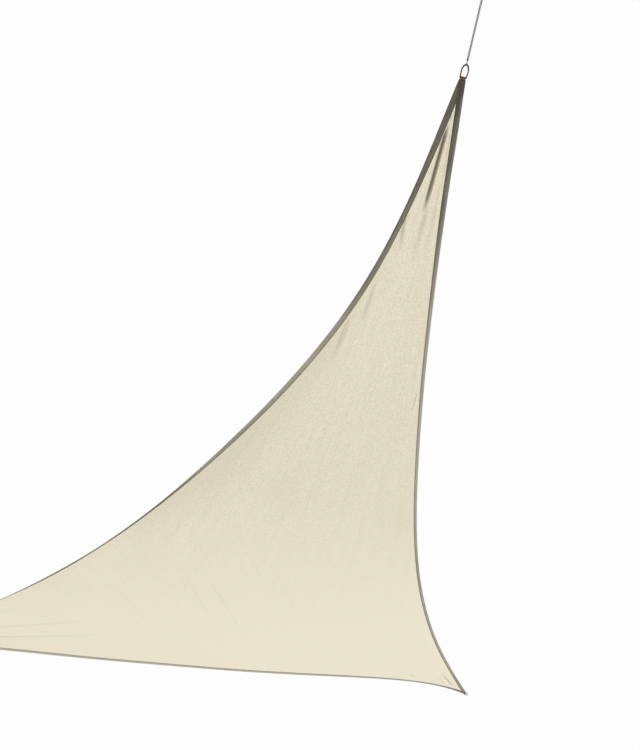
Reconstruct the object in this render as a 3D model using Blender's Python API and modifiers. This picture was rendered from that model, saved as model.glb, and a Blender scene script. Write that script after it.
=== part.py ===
"""Triangular shade sail hanging in three corner rings, with a tie rope at its near corner.

Metres, +Z up. The origin is the centre of the near corner's ring. The sail's right-hand side
runs from there along +Y; the third corner lies towards -X.
"""
import math

import bmesh
import bpy
import numpy as np
from mathutils import Matrix, Vector
from mathutils.geometry import delaunay_2d_cdt

# ---------------------------------------------------------------- corners
# cloth tips, measured from the near cloth tip
NEAR_TIP = (0.0, 0.0, 0.0)
RIGHT_TIP = (0.0, 5.000, 0.030)
LEFT_TIP = (-4.305, 2.505, -0.460)
NEAR_OUT = (0.36, -0.93)
RIGHT_OUT = (0.445, 0.896)
LEFT_OUT = (-1.0, -0.033)
TIP_WIDTH = 0.025

# ---------------------------------------------------------------- cloth
CLOTH_THICK = 0.0015
HEM_THICK = 0.003
HEM_WIDTH = 0.0255
HEM_STEP = 0.004
HEM_CURL = 0.08
HEM_COLUMNS = (HEM_STEP / HEM_WIDTH, 0.55, 1.0)
BELLY_SAG = 0.08
STRAIGHT_TAIL = 0.016

# share of the side's length from its first corner to its second
EDGE_SHARE = (0, 0.03, 0.08, 0.15, 0.24, 0.34, 0.45, 0.56, 0.67, 0.77, 0.86, 0.93, 0.97, 1)
# inward: how far the hem's outer line stands in from the straight side, mm
# roll: turn of the hem about its fold line, degrees, raised above 0 and drooping below it
RIGHT_SIDE_INWARD = (0, 29, 82, 147, 221, 286, 334, 345, 309, 240, 155, 81, 37, 0)
RIGHT_SIDE_ROLL = (0, 7, 9, 22, 30, 31, 33, 35, 36, 38, 38, 35, 10, 0)
FAR_SIDE_INWARD = (0, 55, 135, 217, 284, 324, 344, 347, 320, 281, 210, 122, 57, 0)
FAR_SIDE_ROLL = (0, 8, 11, 11, 5, 0, 0, 0, -2, -2, 0, 0, 0, 0)
LEFT_SIDE_INWARD = (0, 58, 144, 244, 350, 443, 504, 527, 515, 460, 349, 195, 87, 0)
LEFT_SIDE_ROLL = (0, -20, -60, -85, -88, -76, -57, -48, -18, -10, -10, -14, -4, 0)
# name, from, to, inward, roll, droop of the middle (m), how suddenly the droop sets in
SIDES = (
    ("right", 0, 1, RIGHT_SIDE_INWARD, RIGHT_SIDE_ROLL, 0.16, 1.2),
    ("far", 1, 2, FAR_SIDE_INWARD, FAR_SIDE_ROLL, 0.13, 1.6),
    ("left", 2, 0, LEFT_SIDE_INWARD, LEFT_SIDE_ROLL, 0.30, 1.2),
)

# folds of the cloth, from the near tip: start x, start y, end x, end y, half width, height,
# sharpness of the crest, share of the run at which the fold begins to die out
FOLDS = (
    (-0.056, 0.122, -0.174, 0.434, 0.0130, 0.0150, 1.0, 0.80),
    (-0.070, 0.128, -0.120, 0.262, 0.0080, -0.0050, 0.8, 0.50),
    (-0.026, 0.100, -0.118, 0.470, 0.0130, -0.0050, 0.6, 0.45),
    (-0.168, 0.415, -0.212, 0.575, 0.0220, 0.0060, 0.2, 0.35),
    (-0.248, 0.440, -0.293, 0.565, 0.0180, -0.0060, 0.0, 0.50),
    (-0.552, 0.822, -0.650, 1.005, 0.0240, 0.0100, 0.3, 0.45),
    (-0.418, 0.696, -0.496, 0.880, 0.0260, 0.0080, 0.0, 0.50),
    (-0.112, 0.420, -0.190, 0.670, 0.0200, -0.0040, 0.0, 0.45),
    (-0.112, 4.800, -0.230, 4.400, 0.0130, 0.0100, 0.8, 0.45),
    (-0.166, 4.700, -0.250, 4.500, 0.0120, -0.0050, 0.4, 0.45),
    (-0.445, 4.415, -0.500, 4.300, 0.0120, 0.0060, 0.3, 0.50),
    (-3.250, 2.436, -2.300, 2.540, 0.0170, 0.0090, 0.6, 0.50),
    (-3.120, 2.510, -2.620, 2.600, 0.0150, -0.0060, 0.3, 0.45),
    (-3.300, 2.590, -2.360, 2.752, 0.0170, 0.0090, 0.6, 0.50),
    (-2.860, 2.238, -2.390, 2.340, 0.0150, -0.0060, 0.3, 0.50),
)
FOLD_RISE = 0.22
FOLD_LINES = (-1.0, -0.5, 0.0, 0.5, 1.0)
FOLD_ROW_STEP = 1.7
FOLD_POINT_GAP = 0.42
EVEN_POINT_GAP = 0.62
RIM_CLEARANCE = 0.0035
RIM_POINT_CLEARANCE = 0.006

SIDE_STEPS = 44
TAIL_STEPS = 4
APEX_WINDOW = 0.045
END_CROWDING = 0.86
FAN_COLUMNS = (7, 5, 5)
FAN_FIRST_ROW = 0.022
FAN_GROWTH = (1.105, 1.13, 1.13)
FAN_REACH = (1.15, 0.85, 1.0)
LATTICE = 0.130

# ---------------------------------------------------------------- corner rings and webbing
WIRE_RADIUS = 0.0028
TIP_TO_BAR = 0.0032
# half outline of the ring's wire: distance from the bar's centreline, half width
RING_OUTLINE = (
    (0.0000, 0.0000),
    (0.0000, 0.0060),
    (0.0000, 0.0112),
    (0.0008, 0.0132),
    (0.0026, 0.0146),
    (0.0060, 0.0150),
    (0.0110, 0.0150),
    (0.0160, 0.0147),
    (0.0210, 0.0140),
    (0.0260, 0.0128),
    (0.0310, 0.0108),
    (0.0350, 0.0085),
    (0.0385, 0.0057),
    (0.0408, 0.0030),
    (0.0420, 0.0000),
)
RING_BAR_TO_CENTRE = 0.021
WIRE_SEGMENTS = 3
STRAP_WIDTH = 0.0215
STRAP_THICK = 0.0015
STRAP_LEG = 0.0065
STRAP_GAP = 0.0006
STRAP_BAR_GAP = 0.0003
# how the legs open to pass round the bar: share of the leg, share of the opening
STRAP_OPENING = ((1.0, 0.0), (0.6, 0.0), (0.3, 0.35), (0.1, 0.90))
STRAP_BEND_STEPS = 8

# ---------------------------------------------------------------- tie rope
ROPE_DIAMETER = 0.008
ROPE_STRANDS = 4
ROPE_LAY = 0.033
ROPE_GROOVE = 0.09
ROPE_ROUND_POINTS = 12
ROPE_STEP = 0.0032
ROPE_PLAN_ANGLE = 17.8
ROPE_RISE = 8.0
# centreline from the end at the ring to the end of the outer eye:
# distance out from the ring's apex wire, height over the rope's own axis
ROPE_PATH = (
    (0.0183, 0.0000),
    (0.0400, 0.0000),
    (0.0800, 0.0000),
    (0.1200, 0.0000),
    (0.1600, 0.0000),
    (0.1850, -0.0006),
    (0.2050, -0.0034),
    (0.2180, -0.0046),
    (0.2300, -0.0047),
    (0.2400, -0.0047),
    (0.2500, -0.0060),
    (0.2600, -0.0098),
    (0.2720, -0.0135),
    (0.2850, -0.0112),
    (0.2915, 0.0000),
    (0.2850, 0.0112),
    (0.2720, 0.0135),
    (0.2600, 0.0098),
    (0.2500, 0.0060),
    (0.2400, 0.0047),
    (0.2300, 0.0047),
    (0.2180, 0.0050),
    (0.2080, 0.0060),
)
# bent wire hook from the rope's end round the ring's apex wire, as distance out and height
HOOK_WIRE_RADIUS = 0.0014
HOOK_BEND_RADIUS = 0.0046
HOOK_BEND_FROM = 35.0
HOOK_BEND_TO = 318.0
HOOK_BEND_STEPS = 18
HOOK_NECK = ((0.0085, 0.0000), (0.0070, 0.0001), (0.0056, 0.0009))
NEAR_WHIPPING_ENDS = (0.0088, 0.0180)
NEAR_WHIPPING_RADII = (0.0023, 0.0040)
NEAR_WHIPPING_POINTS = 20
WHIPPING_GAP = 0.0005
WHIPPING_THICK = 0.0012
OUTER_WHIPPING_START = 0.2200
OUTER_WHIPPING_LENGTH = 0.0180
WHIPPING_ROUND_STEPS = 8

MATERIALS = {
    "knit": ((0.80, 0.74, 0.60), 0.85, 0.0),
    "webbing": ((0.33, 0.27, 0.22), 0.80, 0.0),
    "steel": ((0.42, 0.41, 0.43), 0.30, 1.0),
    "hook_wire": ((0.40, 0.46, 0.48), 0.35, 1.0),
    "cord": ((0.52, 0.50, 0.56), 0.75, 0.0),
    "twine": ((0.42, 0.47, 0.50), 0.80, 0.0),
}


# ---------------------------------------------------------------- general helpers
def unit(vectors):
    """Return the vector, or each row of an array of vectors, at length one."""
    vectors = np.asarray(vectors, float)
    return vectors / np.linalg.norm(vectors, axis=-1, keepdims=True)


def smooth_rows(places, values, at):
    """Natural cubic curve through a table's rows, read at the given places."""
    places = np.asarray(places, float)
    values = np.asarray(values, float)
    count = len(places)
    gaps = np.diff(places)
    slopes = np.diff(values) / gaps
    system = np.eye(count)
    right = np.zeros(count)
    for row in range(1, count - 1):
        system[row, row - 1] = gaps[row - 1]
        system[row, row] = 2 * (gaps[row - 1] + gaps[row])
        system[row, row + 1] = gaps[row]
        right[row] = 6 * (slopes[row] - slopes[row - 1])
    bends = np.linalg.solve(system, right)
    at = np.asarray(at, float)
    span = np.clip(np.searchsorted(places, at) - 1, 0, count - 2)
    gap = gaps[span]
    left = (places[span + 1] - at) / gap
    rest = (at - places[span]) / gap
    curve = left * values[span] + rest * values[span + 1]
    curve += ((left**3 - left) * bends[span] + (rest**3 - rest) * bends[span + 1]) * gap**2 / 6
    return curve


def fade(value, low, high):
    """Smooth step from 0 at low to 1 at high."""
    part = np.clip((value - low) / (high - low), 0, 1)
    return part * part * (3 - 2 * part)


def travel(line):
    """Distance from a line's start to each of its points."""
    return np.concatenate([[0], np.cumsum(np.linalg.norm(np.diff(line, axis=0), axis=1))])


def add_material(name):
    """Make one plain material from the table."""
    colour, roughness, metallic = MATERIALS[name]
    material = bpy.data.materials.new(name)
    material.use_nodes = True
    shader = material.node_tree.nodes["Principled BSDF"]
    shader.inputs["Base Color"].default_value = (*colour, 1.0)
    shader.inputs["Roughness"].default_value = roughness
    shader.inputs["Metallic"].default_value = metallic
    material.diffuse_color = (*colour, 1.0)
    return material


def face_outward(mesh):
    """Join the seams of a mesh and turn its faces outward."""
    shaped = bmesh.new()
    shaped.from_mesh(mesh)
    bmesh.ops.remove_doubles(shaped, verts=shaped.verts, dist=0.00001)
    bmesh.ops.recalc_face_normals(shaped, faces=shaped.faces)
    shaped.to_mesh(mesh)
    shaped.free()


def add_object(collection, name, mesh, material):
    """Put a mesh in the collection as a named object with its material."""
    mesh.materials.clear()
    mesh.materials.append(material)
    obj = bpy.data.objects.new(name, mesh)
    collection.objects.link(obj)
    return obj


def add_shell(obj, thickness, group=None, thin_share=1.0):
    """Thicken an open surface evenly about its middle."""
    solidify = obj.modifiers.new("thickness", "SOLIDIFY")
    solidify.thickness = thickness
    solidify.offset = 0.0
    solidify.use_even_offset = True
    if group:
        solidify.vertex_group = group
        solidify.thickness_vertex_group = thin_share
    return solidify


# ---------------------------------------------------------------- corners
TIPS = [np.array(tip) for tip in (NEAR_TIP, RIGHT_TIP, LEFT_TIP)]
OUTS = [unit((*out, 0.0)) for out in (NEAR_OUT, RIGHT_OUT, LEFT_OUT)]
SAIL_UP = unit(np.cross(TIPS[1] - TIPS[0], TIPS[2] - TIPS[0]))
CORNER_NAMES = ("near", "right", "left")


def corner_axes(corner):
    """Return a corner's outward, sideways and upward directions in the sail's plane."""
    outward = OUTS[corner] - SAIL_UP * (OUTS[corner] @ SAIL_UP)
    outward = unit(outward)
    sideways = np.cross(SAIL_UP, outward)
    return outward, sideways, SAIL_UP


def bar_centre(corner):
    """Return the middle of the straight bar of a corner's ring, from the near tip."""
    return TIPS[corner] + corner_axes(corner)[0] * TIP_TO_BAR


ORIGIN = bar_centre(0) + corner_axes(0)[0] * RING_BAR_TO_CENTRE


def corner_matrix(corner):
    """Placing matrix: local x sideways, y outward from the ring's bar, z up."""
    outward, sideways, upward = corner_axes(corner)
    place = bar_centre(corner) - ORIGIN
    rows = [[-sideways[k], outward[k], upward[k], place[k]] for k in range(3)]
    return Matrix([*rows, [0, 0, 0, 1]])


# ---------------------------------------------------------------- cloth
def side_lines(side, shares):
    """Return a side's fold line, outer line and hem frame at the given shares of its length."""
    _, first, second, inward_mm, roll, droop, onset = side
    third = 3 - first - second
    turned = [corner_axes(corner)[1] * TIP_WIDTH / 2 for corner in range(3)]
    start = TIPS[first] + turned[first]
    end = TIPS[second] - turned[second]
    chord = end - start
    along = unit(chord)
    inward = TIPS[third] - start
    inward = unit(inward - along * (inward @ along))
    step_in = smooth_rows(EDGE_SHARE, np.array(inward_mm) / 1000, shares)
    bow = np.clip((4 * shares * (1 - shares) - STRAIGHT_TAIL) / (1 - STRAIGHT_TAIL), 0, 1)
    line = start + chord * shares[:, None] + inward * step_in[:, None]
    line = line - np.array((0, 0, 1.0)) * (droop * bow**onset)[:, None]
    tangent = unit(np.gradient(line, shares, axis=0))
    across = unit(np.cross(SAIL_UP, tangent))
    upward = np.cross(tangent, across)
    angle = np.radians(smooth_rows(EDGE_SHARE, roll, shares))[:, None]
    fold = line + HEM_WIDTH * across
    outer = fold - HEM_WIDTH * (np.cos(angle) * across - np.sin(angle) * upward)
    bulge_way = -np.sin(angle) * -across + np.cos(angle) * upward
    bulge = -HEM_WIDTH * HEM_CURL * angle / (math.pi / 2) * bulge_way
    return fold, outer, bulge


def apex_shares(before, after):
    """Find where two neighbouring fold lines cross near their shared corner."""
    fine = np.linspace(0, 1, 8001)
    near_end = fine[(fine > 1 - APEX_WINDOW) & (fine < 1)]
    near_start = fine[(fine < APEX_WINDOW) & (fine > 0)]
    fold_in = side_lines(before, fine)[0][fine > 1 - APEX_WINDOW][:-1]
    fold_out = side_lines(after, fine)[0][fine < APEX_WINDOW][1:]
    reach = np.linalg.norm(fold_in[:, None, :2] - fold_out[None, :, :2], axis=2)
    row, column = np.unravel_index(reach.argmin(), reach.shape)
    return near_end[row], near_start[column]


def graded(low, high, steps):
    """Rising places from low to high, crowded towards both ends."""
    place = np.linspace(0, 1, steps + 1)
    return low + (high - low) * (place - END_CROWDING * np.sin(2 * np.pi * place) / (2 * np.pi))


def belly(points):
    """Sag of the cloth below straight sides: all of it in the middle, none at such a side."""
    shares = []
    for first in range(3):
        second = (first + 1) % 3
        along = unit(TIPS[second][:2] - TIPS[first][:2])
        arm = points[:, :2] - TIPS[first][:2]
        shares.append(np.abs(along[0] * arm[:, 1] - along[1] * arm[:, 0]))
    product = shares[0] * shares[1] * shares[2]
    return -BELLY_SAG * 27 * product / (shares[0] + shares[1] + shares[2]) ** 3


def resting_height(points, ring):
    """Height of the hanging cloth: stretched over its closed rim by mean value coordinates,
    with a belly that leaves the rim where it is."""
    arms = ring[None, :, :2] - points[:, None, :2]
    reach = np.linalg.norm(arms, axis=2)
    following = np.roll(arms, -1, axis=1)
    cross = arms[..., 0] * following[..., 1] - arms[..., 1] * following[..., 0]
    dot = (arms * following).sum(axis=2)
    half = np.tan(np.arctan2(cross, dot) / 2)
    weights = (half + np.roll(half, 1, axis=1)) / reach
    rim = ring[:, 2] - belly(ring)
    return (weights * rim).sum(axis=1) / weights.sum(axis=1) + belly(points)


def fold_height(points):
    """Height that the folds of the table add to the cloth at the given points."""
    height = np.zeros(len(points))
    for start_x, start_y, end_x, end_y, half_width, depth, sharp, hold in FOLDS:
        start = np.array((start_x, start_y))
        run = np.array((end_x, end_y)) - start
        length = np.linalg.norm(run)
        along = run / length
        arm = points[:, :2] - start
        share = arm @ along / length
        away = np.abs(along[0] * arm[:, 1] - along[1] * arm[:, 0]) / half_width
        rounded = 0.5 * (1 + np.cos(np.pi * np.clip(away, 0, 1)))
        peaked = np.clip(1 - away, 0, 1)
        profile = rounded * (1 - sharp) + (0.35 * rounded + 0.65 * peaked) * sharp
        envelope = fade(share, 0.0, FOLD_RISE) * (1 - fade(share, hold, 1.0))
        height += depth * profile * envelope
    return height


def inside(points, ring):
    """True for each point inside the closed line, seen from above."""
    result = np.zeros(len(points), bool)
    ahead = np.roll(ring, -1, axis=0)
    for (x0, y0), (x1, y1) in zip(ring[:, :2], ahead[:, :2]):
        spans = (y0 > points[:, 1]) != (y1 > points[:, 1])
        reach = (x1 - x0) * (points[:, 1] - y0) / (y1 - y0 if y1 != y0 else 1.0) + x0
        result ^= spans & (points[:, 0] < reach)
    return result


def clearance(points, ring):
    """Distance of each point from the closed line, seen from above."""
    best = np.full(len(points), np.inf)
    ahead = np.roll(ring, -1, axis=0)
    for start, end in zip(ring[:, :2], ahead[:, :2]):
        run = end - start
        share = np.clip((points - start) @ run / (run @ run), 0, 1)
        foot = start + run * share[:, None]
        best = np.minimum(best, np.linalg.norm(points - foot, axis=1))
    return best


def keep_apart(kept, wanted, gaps):
    """Add each wanted point that stands its own gap away from those kept before it."""
    kept = list(kept)
    for point, gap in zip(wanted, gaps):
        near = np.linalg.norm(np.array(kept) - point, axis=1).min() if kept else np.inf
        if near >= gap:
            kept.append(point)
    return kept


def fold_points():
    """Points along each fold's middle, flanks and feet, with the gap each one needs."""
    points = []
    gaps = []
    for start_x, start_y, end_x, end_y, half_width, _, _, _ in FOLDS:
        start = np.array((start_x, start_y))
        run = np.array((end_x, end_y)) - start
        length = np.linalg.norm(run)
        across = np.array((-run[1], run[0])) / length
        rows = max(4, int(length / (FOLD_ROW_STEP * half_width)))
        for row in range(rows + 1):
            for offset in FOLD_LINES:
                points.append(start + run * row / rows + across * offset * half_width)
                gaps.append(FOLD_POINT_GAP * half_width)
    return points, gaps


def fan_points(folds):
    """Rows of points across the cloth that open out from each corner."""
    points = []
    gaps = []
    for corner in range(3):
        leaving = folds[corner]
        arriving = folds[(corner + 2) % 3][::-1]
        columns = FAN_COLUMNS[corner]
        travel_out = travel(leaving[:, :2])
        travel_in = travel(arriving[:, :2])
        reach = FAN_FIRST_ROW
        while reach < FAN_REACH[corner]:
            one = np.array([np.interp(reach, travel_out, leaving[:, k]) for k in range(2)])
            other = np.array([np.interp(reach, travel_in, arriving[:, k]) for k in range(2)])
            pitch = np.linalg.norm(other - one) / columns
            for column in range(1, columns):
                points.append(one + (other - one) * column / columns)
                gaps.append(EVEN_POINT_GAP * pitch)
            reach *= FAN_GROWTH[corner]
    return points, gaps


def lattice_points(ring):
    """Even triangular lattice over the middle of the cloth."""
    low = ring[:, :2].min(axis=0)
    high = ring[:, :2].max(axis=0)
    points = []
    row_step = LATTICE * math.sqrt(3) / 2
    for row in range(int((high[1] - low[1]) / row_step) + 1):
        for column in range(int((high[0] - low[0]) / LATTICE) + 1):
            shift = 0.5 * (row % 2)
            points.append(low + np.array(((column + shift) * LATTICE, row * row_step)))
    return points


def sail_rows():
    """Return each side's rows of hem points, inner line first, tails included."""
    folds = []
    hems = []
    shares = [apex_shares(SIDES[(corner + 2) % 3], SIDES[corner]) for corner in range(3)]
    for index, side in enumerate(SIDES):
        low = shares[index][1]
        high = shares[(index + 1) % 3][0]
        places = np.concatenate([
            np.linspace(0, low, TAIL_STEPS + 1)[:-1],
            graded(low, high, SIDE_STEPS),
            np.linspace(high, 1, TAIL_STEPS + 1)[1:],
        ])
        fine = np.linspace(0, 1, 1601)
        lines = side_lines(side, fine)
        fold, outer, bulge = (
            np.stack([np.interp(places, fine, line[:, k]) for k in range(3)], axis=1)
            for line in lines
        )
        folds.append(fold)
        hems.append((outer, bulge))
    return folds, hems


def sail_surface():
    """Return the vertices, faces and hem shares of the cloth's middle surface."""
    folds, hems = sail_rows()
    first = TAIL_STEPS
    last = TAIL_STEPS + SIDE_STEPS
    for corner in range(3):
        before = (corner + 2) % 3
        apex = (folds[corner][first] + folds[before][last]) / 2
        folds[corner][first] = apex
        folds[before][last] = apex
        for step in range(TAIL_STEPS):
            outer_out = hems[corner][0][step]
            outer_in = hems[before][0][-1 - step]
            middle = (outer_out + outer_in) / 2
            folds[corner][step] = middle
            folds[before][-1 - step] = middle
    vertices = []
    hem_share = []

    def put(point, share):
        vertices.append(point)
        hem_share.append(share)
        return len(vertices) - 1

    inner_rows = []
    for side in range(3):
        row = []
        for step, point in enumerate(folds[side]):
            before = inner_rows[side - 1] if side else None
            if before and step <= first:
                row.append(before[-1 - step])
            elif side == 2 and step >= last:
                row.append(inner_rows[0][len(folds[side]) - 1 - step])
            else:
                in_tail = step <= first or step >= last
                row.append(put(point, 1.0 if in_tail else 0.0))
        inner_rows.append(row)

    faces = []
    for side in range(3):
        outer, bulge = hems[side]
        rows = [inner_rows[side]]
        for share in HEM_COLUMNS:
            arc = 4 * share * (1 - share)
            line = folds[side] + (outer - folds[side]) * share + bulge * arc
            rows.append([put(point, 1.0) for point in line])
        for inner, further in zip(rows, rows[1:]):
            for step in range(len(inner) - 1):
                faces.append((inner[step], further[step], further[step + 1], inner[step + 1]))

    loop = [vertex for side in range(3) for vertex in inner_rows[side][first:last]]
    ring = np.array([vertices[vertex] for vertex in loop])
    wanted, gaps = fold_points()
    kept = keep_apart([], wanted, gaps)
    wanted, gaps = fan_points([line[first:last + 1] for line in folds])
    kept = keep_apart(kept, wanted, gaps)
    wanted = lattice_points(ring)
    kept = keep_apart(kept, wanted, [EVEN_POINT_GAP * LATTICE] * len(wanted))
    kept = np.array(kept)
    room = clearance(kept, ring)
    nearest = np.linalg.norm(kept[:, None] - ring[None, :, :2], axis=2).min(axis=1)
    kept = kept[inside(kept, ring) & (room > RIM_CLEARANCE) & (nearest > RIM_POINT_CLEARANCE)]
    height = resting_height(kept, ring) + fold_height(kept)

    plan = [Vector(point[:2]) for point in ring] + [Vector(point) for point in kept]
    edges = [(k, (k + 1) % len(ring)) for k in range(len(ring))]
    _, _, triangles, origins, _, _ = delaunay_2d_cdt(plan, edges, [], 1, 1e-6)
    numbers = loop + [put(np.array((*point, z)), 0.0) for point, z in zip(kept, height)]
    for triangle in triangles:
        faces.append(tuple(numbers[origins[corner][0]] for corner in triangle))
    return vertices, faces, hem_share


def build_sail(collection, material):
    """The cloth with its hem: one thin solid on its folds."""
    vertices, faces, hem_share = sail_surface()
    mesh = bpy.data.meshes.new("sail")
    mesh.from_pydata([tuple(point - ORIGIN) for point in vertices], [], faces)
    face_outward(mesh)
    obj = add_object(collection, "sail", mesh, material)
    group = obj.vertex_groups.new(name="hem")
    for number, share in enumerate(hem_share):
        group.add([number], share, "REPLACE")
    add_shell(obj, HEM_THICK, "hem", CLOTH_THICK / HEM_THICK)


# ---------------------------------------------------------------- rings and webbing
def build_wire(collection, name, points, radius, closed, matrix, material):
    """Round wire bent along a line of points that lies in one plane."""
    curve = bpy.data.curves.new(name, "CURVE")
    curve.dimensions = "3D"
    curve.bevel_depth = radius
    curve.bevel_resolution = WIRE_SEGMENTS
    curve.use_fill_caps = not closed
    spline = curve.splines.new("POLY")
    spline.points.add(len(points) - 1)
    for point, (x, y) in zip(spline.points, points):
        point.co = (x, y, 0, 1)
    spline.use_cyclic_u = closed
    wire = bpy.data.objects.new("wire", curve)
    collection.objects.link(wire)
    bpy.context.view_layer.update()
    graph = bpy.context.evaluated_depsgraph_get()
    mesh = bpy.data.meshes.new_from_object(wire.evaluated_get(graph))
    bpy.data.objects.remove(wire)
    mesh.transform(matrix)
    face_outward(mesh)
    mesh.name = name
    add_object(collection, name, mesh, material)


def build_ring(collection, corner, material):
    """Bent wire ring, straight along its bar and rounded at its outer end."""
    outline = [(width, reach) for reach, width in RING_OUTLINE]
    outline += [(-width, reach) for reach, width in RING_OUTLINE[-2:0:-1]]
    name = "ring_" + CORNER_NAMES[corner]
    build_wire(collection, name, outline, WIRE_RADIUS, True, corner_matrix(corner), material)


def strap_profile():
    """Side view of the webbing's middle: out over the tail, round the bar and back."""
    leg_height = HEM_THICK / 2 + STRAP_GAP + STRAP_THICK / 2
    bend = WIRE_RADIUS + STRAP_BAR_GAP + STRAP_THICK / 2
    over = [(-leg * STRAP_LEG, leg_height + rise * (bend - leg_height))
            for leg, rise in STRAP_OPENING]
    path = list(over)
    for step in range(STRAP_BEND_STEPS + 1):
        angle = math.pi / 2 - math.pi * step / STRAP_BEND_STEPS
        path.append((bend * math.cos(angle), bend * math.sin(angle)))
    path += [(reach, -height) for reach, height in reversed(over)]
    return path


def build_strap(collection, corner, material):
    """Webbing folded round the ring's bar, one leg over and one under the tail."""
    vertices = []
    faces = []
    for reach, height in strap_profile():
        for side in (-0.5, 0.0, 0.5):
            vertices.append((side * STRAP_WIDTH, reach, height))
    for row in range(len(vertices) // 3 - 1):
        for column in range(2):
            low = row * 3 + column
            faces.append((low, low + 1, low + 4, low + 3))
    name = "strap_" + CORNER_NAMES[corner]
    mesh = bpy.data.meshes.new(name)
    mesh.from_pydata(vertices, [], faces)
    mesh.transform(corner_matrix(corner))
    obj = add_object(collection, name, mesh, material)
    add_shell(obj, STRAP_THICK)


# ---------------------------------------------------------------- rope
def rope_axes():
    """Return the rope's start at the ring's apex wire and its outward, side and up directions."""
    plan = math.radians(ROPE_PLAN_ANGLE)
    rise = math.radians(ROPE_RISE)
    flat = np.array((math.sin(plan), -math.cos(plan), 0.0))
    outward = flat * math.cos(rise) + np.array((0, 0, 1.0)) * math.sin(rise)
    sideways = unit(np.cross((0, 0, 1.0), outward))
    upward = np.cross(outward, sideways)
    apex = bar_centre(0) + corner_axes(0)[0] * RING_OUTLINE[-1][0] - ORIGIN
    return apex, outward, sideways, upward


def rope_centreline():
    """Even steps along a smooth curve through the rope's table, with the direction at each."""
    rows = np.array(ROPE_PATH)
    places = travel(rows)
    fine = np.linspace(0, places[-1], 3000)
    curve = np.stack([smooth_rows(places, rows[:, k], fine) for k in range(2)], axis=1)
    length = travel(curve)
    even = np.linspace(0, length[-1], int(round(length[-1] / ROPE_STEP)) + 1)
    line = np.stack([np.interp(even, length, curve[:, k]) for k in range(2)], axis=1)
    return even, line, unit(np.gradient(line, axis=0))


def build_rope(collection, material):
    """Four-strand rope, straight from its hook at the near ring to the eye at its outer end."""
    apex, outward, sideways, upward = rope_axes()
    along, line, heading = rope_centreline()
    vertices = []
    for place, (reach, height), (ahead, climb) in zip(along, line, heading):
        centre = apex + outward * reach + upward * height
        normal = upward * ahead - outward * climb
        for point in range(ROPE_ROUND_POINTS):
            angle = 2 * math.pi * (point / ROPE_ROUND_POINTS + place / ROPE_LAY)
            lobe = math.cos(2 * math.pi * point * ROPE_STRANDS / ROPE_ROUND_POINTS)
            radius = ROPE_DIAMETER / 2 * (1 - ROPE_GROOVE * (1 - lobe) / 2)
            offset = sideways * math.cos(angle) + normal * math.sin(angle)
            vertices.append(tuple(centre + offset * radius))
    count = ROPE_ROUND_POINTS
    rows = len(along)
    faces = [tuple(range(count))[::-1], tuple(range((rows - 1) * count, rows * count))]
    for row in range(rows - 1):
        for point in range(count):
            low = row * count + point
            low_next = row * count + (point + 1) % count
            faces.append((low, low_next, low_next + count, low + count))
    mesh = bpy.data.meshes.new("rope")
    mesh.from_pydata(vertices, [], faces)
    face_outward(mesh)
    add_object(collection, "rope", mesh, material)


def rope_matrix(reach=0.0):
    """Placing matrix: local x outward along the rope, y up, z sideways."""
    apex, outward, sideways, upward = rope_axes()
    place = apex + outward * reach
    rows = [[outward[k], upward[k], -sideways[k], place[k]] for k in range(3)]
    return Matrix([*rows, [0, 0, 0, 1]])


def build_hook(collection, material):
    """Wire hook from the rope's end round the near ring."""
    points = list(HOOK_NECK)
    for step in range(HOOK_BEND_STEPS + 1):
        share = step / HOOK_BEND_STEPS
        angle = math.radians(HOOK_BEND_FROM + (HOOK_BEND_TO - HOOK_BEND_FROM) * share)
        points.append((HOOK_BEND_RADIUS * math.cos(angle), HOOK_BEND_RADIUS * math.sin(angle)))
    build_wire(collection, "rope_hook", points, HOOK_WIRE_RADIUS, False, rope_matrix(), material)


def build_near_whipping(collection, material):
    """Tapered whipping between the hook's neck and the rope."""
    start, end = NEAR_WHIPPING_ENDS
    small, large = NEAR_WHIPPING_RADII
    shaped = bmesh.new()
    bmesh.ops.create_cone(
        shaped, cap_ends=True, segments=NEAR_WHIPPING_POINTS, radius1=small, radius2=large,
        depth=end - start)
    mesh = bpy.data.meshes.new("whipping_near")
    shaped.to_mesh(mesh)
    shaped.free()
    mesh.transform(rope_matrix((start + end) / 2) @ Matrix.Rotation(math.pi / 2, 4, "Y"))
    face_outward(mesh)
    add_object(collection, "whipping_near", mesh, material)


def build_outer_whipping(collection, material):
    """Sleeve of wound twine that closes the outer eye."""
    half_gap = max(abs(height) for reach, height in ROPE_PATH[7:10])
    middle = ROPE_DIAMETER / 2 + WHIPPING_GAP + WHIPPING_THICK / 2
    outline = []
    for centre, turn in ((half_gap, 0.0), (-half_gap, math.pi)):
        for step in range(WHIPPING_ROUND_STEPS + 1):
            angle = turn + math.pi * step / WHIPPING_ROUND_STEPS
            outline.append((centre + middle * math.sin(angle), middle * math.cos(angle)))
    vertices = []
    for reach in (0.0, OUTER_WHIPPING_LENGTH):
        vertices += [(reach, height, side) for height, side in outline]
    count = len(outline)
    faces = [(k, (k + 1) % count, (k + 1) % count + count, k + count) for k in range(count)]
    mesh = bpy.data.meshes.new("whipping_outer")
    mesh.from_pydata(vertices, [], faces)
    mesh.transform(rope_matrix(OUTER_WHIPPING_START))
    obj = add_object(collection, "whipping_outer", mesh, material)
    add_shell(obj, WHIPPING_THICK)


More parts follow.
